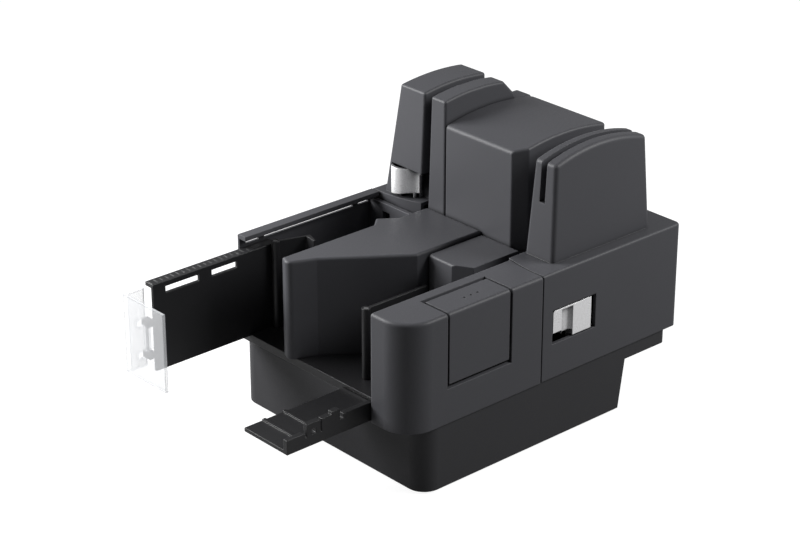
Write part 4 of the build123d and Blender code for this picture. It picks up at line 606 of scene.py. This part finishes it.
def footPieces():
    profile = [(0, 0)]
    for start in foot["rings"]:
        end, slope = start + foot["ringWidth"], foot["ringSlope"]
        profile += [(start, 0), (start + slope, foot["ring"]), (end - slope, foot["ring"]),
                    (end, 0)]
    profile += [(foot["radius"] - foot["soft"], 0), (foot["radius"], foot["soft"]),
                (foot["radius"], foot["height"]), (0, foot["height"])]
    mesh = turned("rubberFeet", profile, foot["spots"], finishes["roller_rubber"])
    finished("rubberFeet", mesh, "scanner", ["rubber_feet"])


rollerPieces()
beadTree = taperedBead()
guideBeads(beadTree)
gripRidges(beadTree)
screwPieces()
footPieces()
print("rollers, beads, screws and feet made")


# studio, in metres: floor, backdrop, soft boxes and camera
studio = dict(
    floorSize=6.0, floorColour=(0.22, 0.22, 0.222), floorRough=0.9, floorShine=0.1, floorGlow=0.91,
    white=(1, 1, 1, 1), backdrop=1.0, ambient=0.08, gloss=0.25,
)
lamps = dict(       # place, size and watts
    frontLeftBox=((-0.50, -0.39, 0.42), (0.45, 0.45), 11.5),
    rightRearBox=((0.58, 0.50, 0.68), (0.45, 0.45), 8.4),
)
lampAim = (0, 0, 0.09)
camSetup = dict(
    spot=(0.9925, -0.915, 0.715), back=(0.6757, -0.6054, 0.4205), lens=105.86, sensor=36,
)


def seenDirectly(tree):
    # 1 for what the camera or clear plastic sees, a share of it for what gloss reflects
    rays = tree.nodes.new("ShaderNodeLightPath").outputs
    direct = maths(tree, "MAXIMUM", rays["Is Camera Ray"], rays["Is Transmission Ray"])
    glossy = maths(tree, "MULTIPLY", rays["Is Glossy Ray"], studio["gloss"])
    return maths(tree, "MAXIMUM", direct, glossy)


def paleFloor():
    half = studio["floorSize"] / 2
    mesh = bpy.data.meshes.new("floor")
    mesh.from_pydata([(-half, -half, 0), (half, -half, 0), (half, half, 0), (-half, half, 0)],
                     [], [(0, 1, 2, 3)])
    floor = bpy.data.objects.new("floor", mesh)
    bpy.context.collection.objects.link(floor)
    mat, tree, shader = newMaterial("paleFloor")
    shader.inputs["Base Color"].default_value = (*studio["floorColour"], 1)
    shader.inputs["Roughness"].default_value = studio["floorRough"]
    shader.inputs["Specular IOR Level"].default_value = studio["floorShine"]
    shader.inputs["Emission Color"].default_value = studio["white"]
    glow = maths(tree, "MULTIPLY", seenDirectly(tree), studio["floorGlow"])
    tree.links.new(glow, shader.inputs["Emission Strength"])
    mesh.materials.append(mat)


def studioWorld():
    world = bpy.data.worlds.new("studio")
    bpy.context.scene.world = world
    world.use_nodes = True
    tree = world.node_tree
    tree.nodes.clear()
    soft, white = [add(tree, "ShaderNodeBackground", {"Color": studio["white"], "Strength": level})
                   for level in (studio["ambient"], studio["backdrop"])]
    pick = add(tree, "ShaderNodeMixShader", {0: seenDirectly(tree), 1: soft, 2: white})
    out = tree.nodes.new("ShaderNodeOutputWorld")
    tree.links.new(pick, out.inputs["Surface"])


def softBox(name, spot, size, watts):
    light = bpy.data.lights.new(name, "AREA")
    light.shape = "RECTANGLE"
    light.size, light.size_y = size
    light.energy = watts
    lamp = bpy.data.objects.new(name, light)
    facing = (Vector(lampAim) - Vector(spot)).to_track_quat("-Z", "Y").to_matrix().to_4x4()
    lamp.matrix_world = Matrix.Translation(spot) @ facing
    bpy.context.collection.objects.link(lamp)


def camera():
    data = bpy.data.cameras.new("camera")
    data.sensor_fit = "HORIZONTAL"
    data.sensor_width = camSetup["sensor"]
    data.lens = camSetup["lens"]
    cam = bpy.data.objects.new("camera", data)
    back = Vector(camSetup["back"]).normalized()
    side = Vector((0, 0, 1)).cross(back).normalized()
    facing = Matrix((side, back.cross(side), back)).transposed().to_4x4()
    cam.matrix_world = Matrix.Translation(camSetup["spot"]) @ facing
    bpy.context.collection.objects.link(cam)
    bpy.context.scene.camera = cam


paleFloor()
studioWorld()
for name, (spot, size, watts) in lamps.items():
    softBox(name, spot, size, watts)
camera()
bpy.context.scene.view_settings.view_transform = "Standard"
print("studio ready")
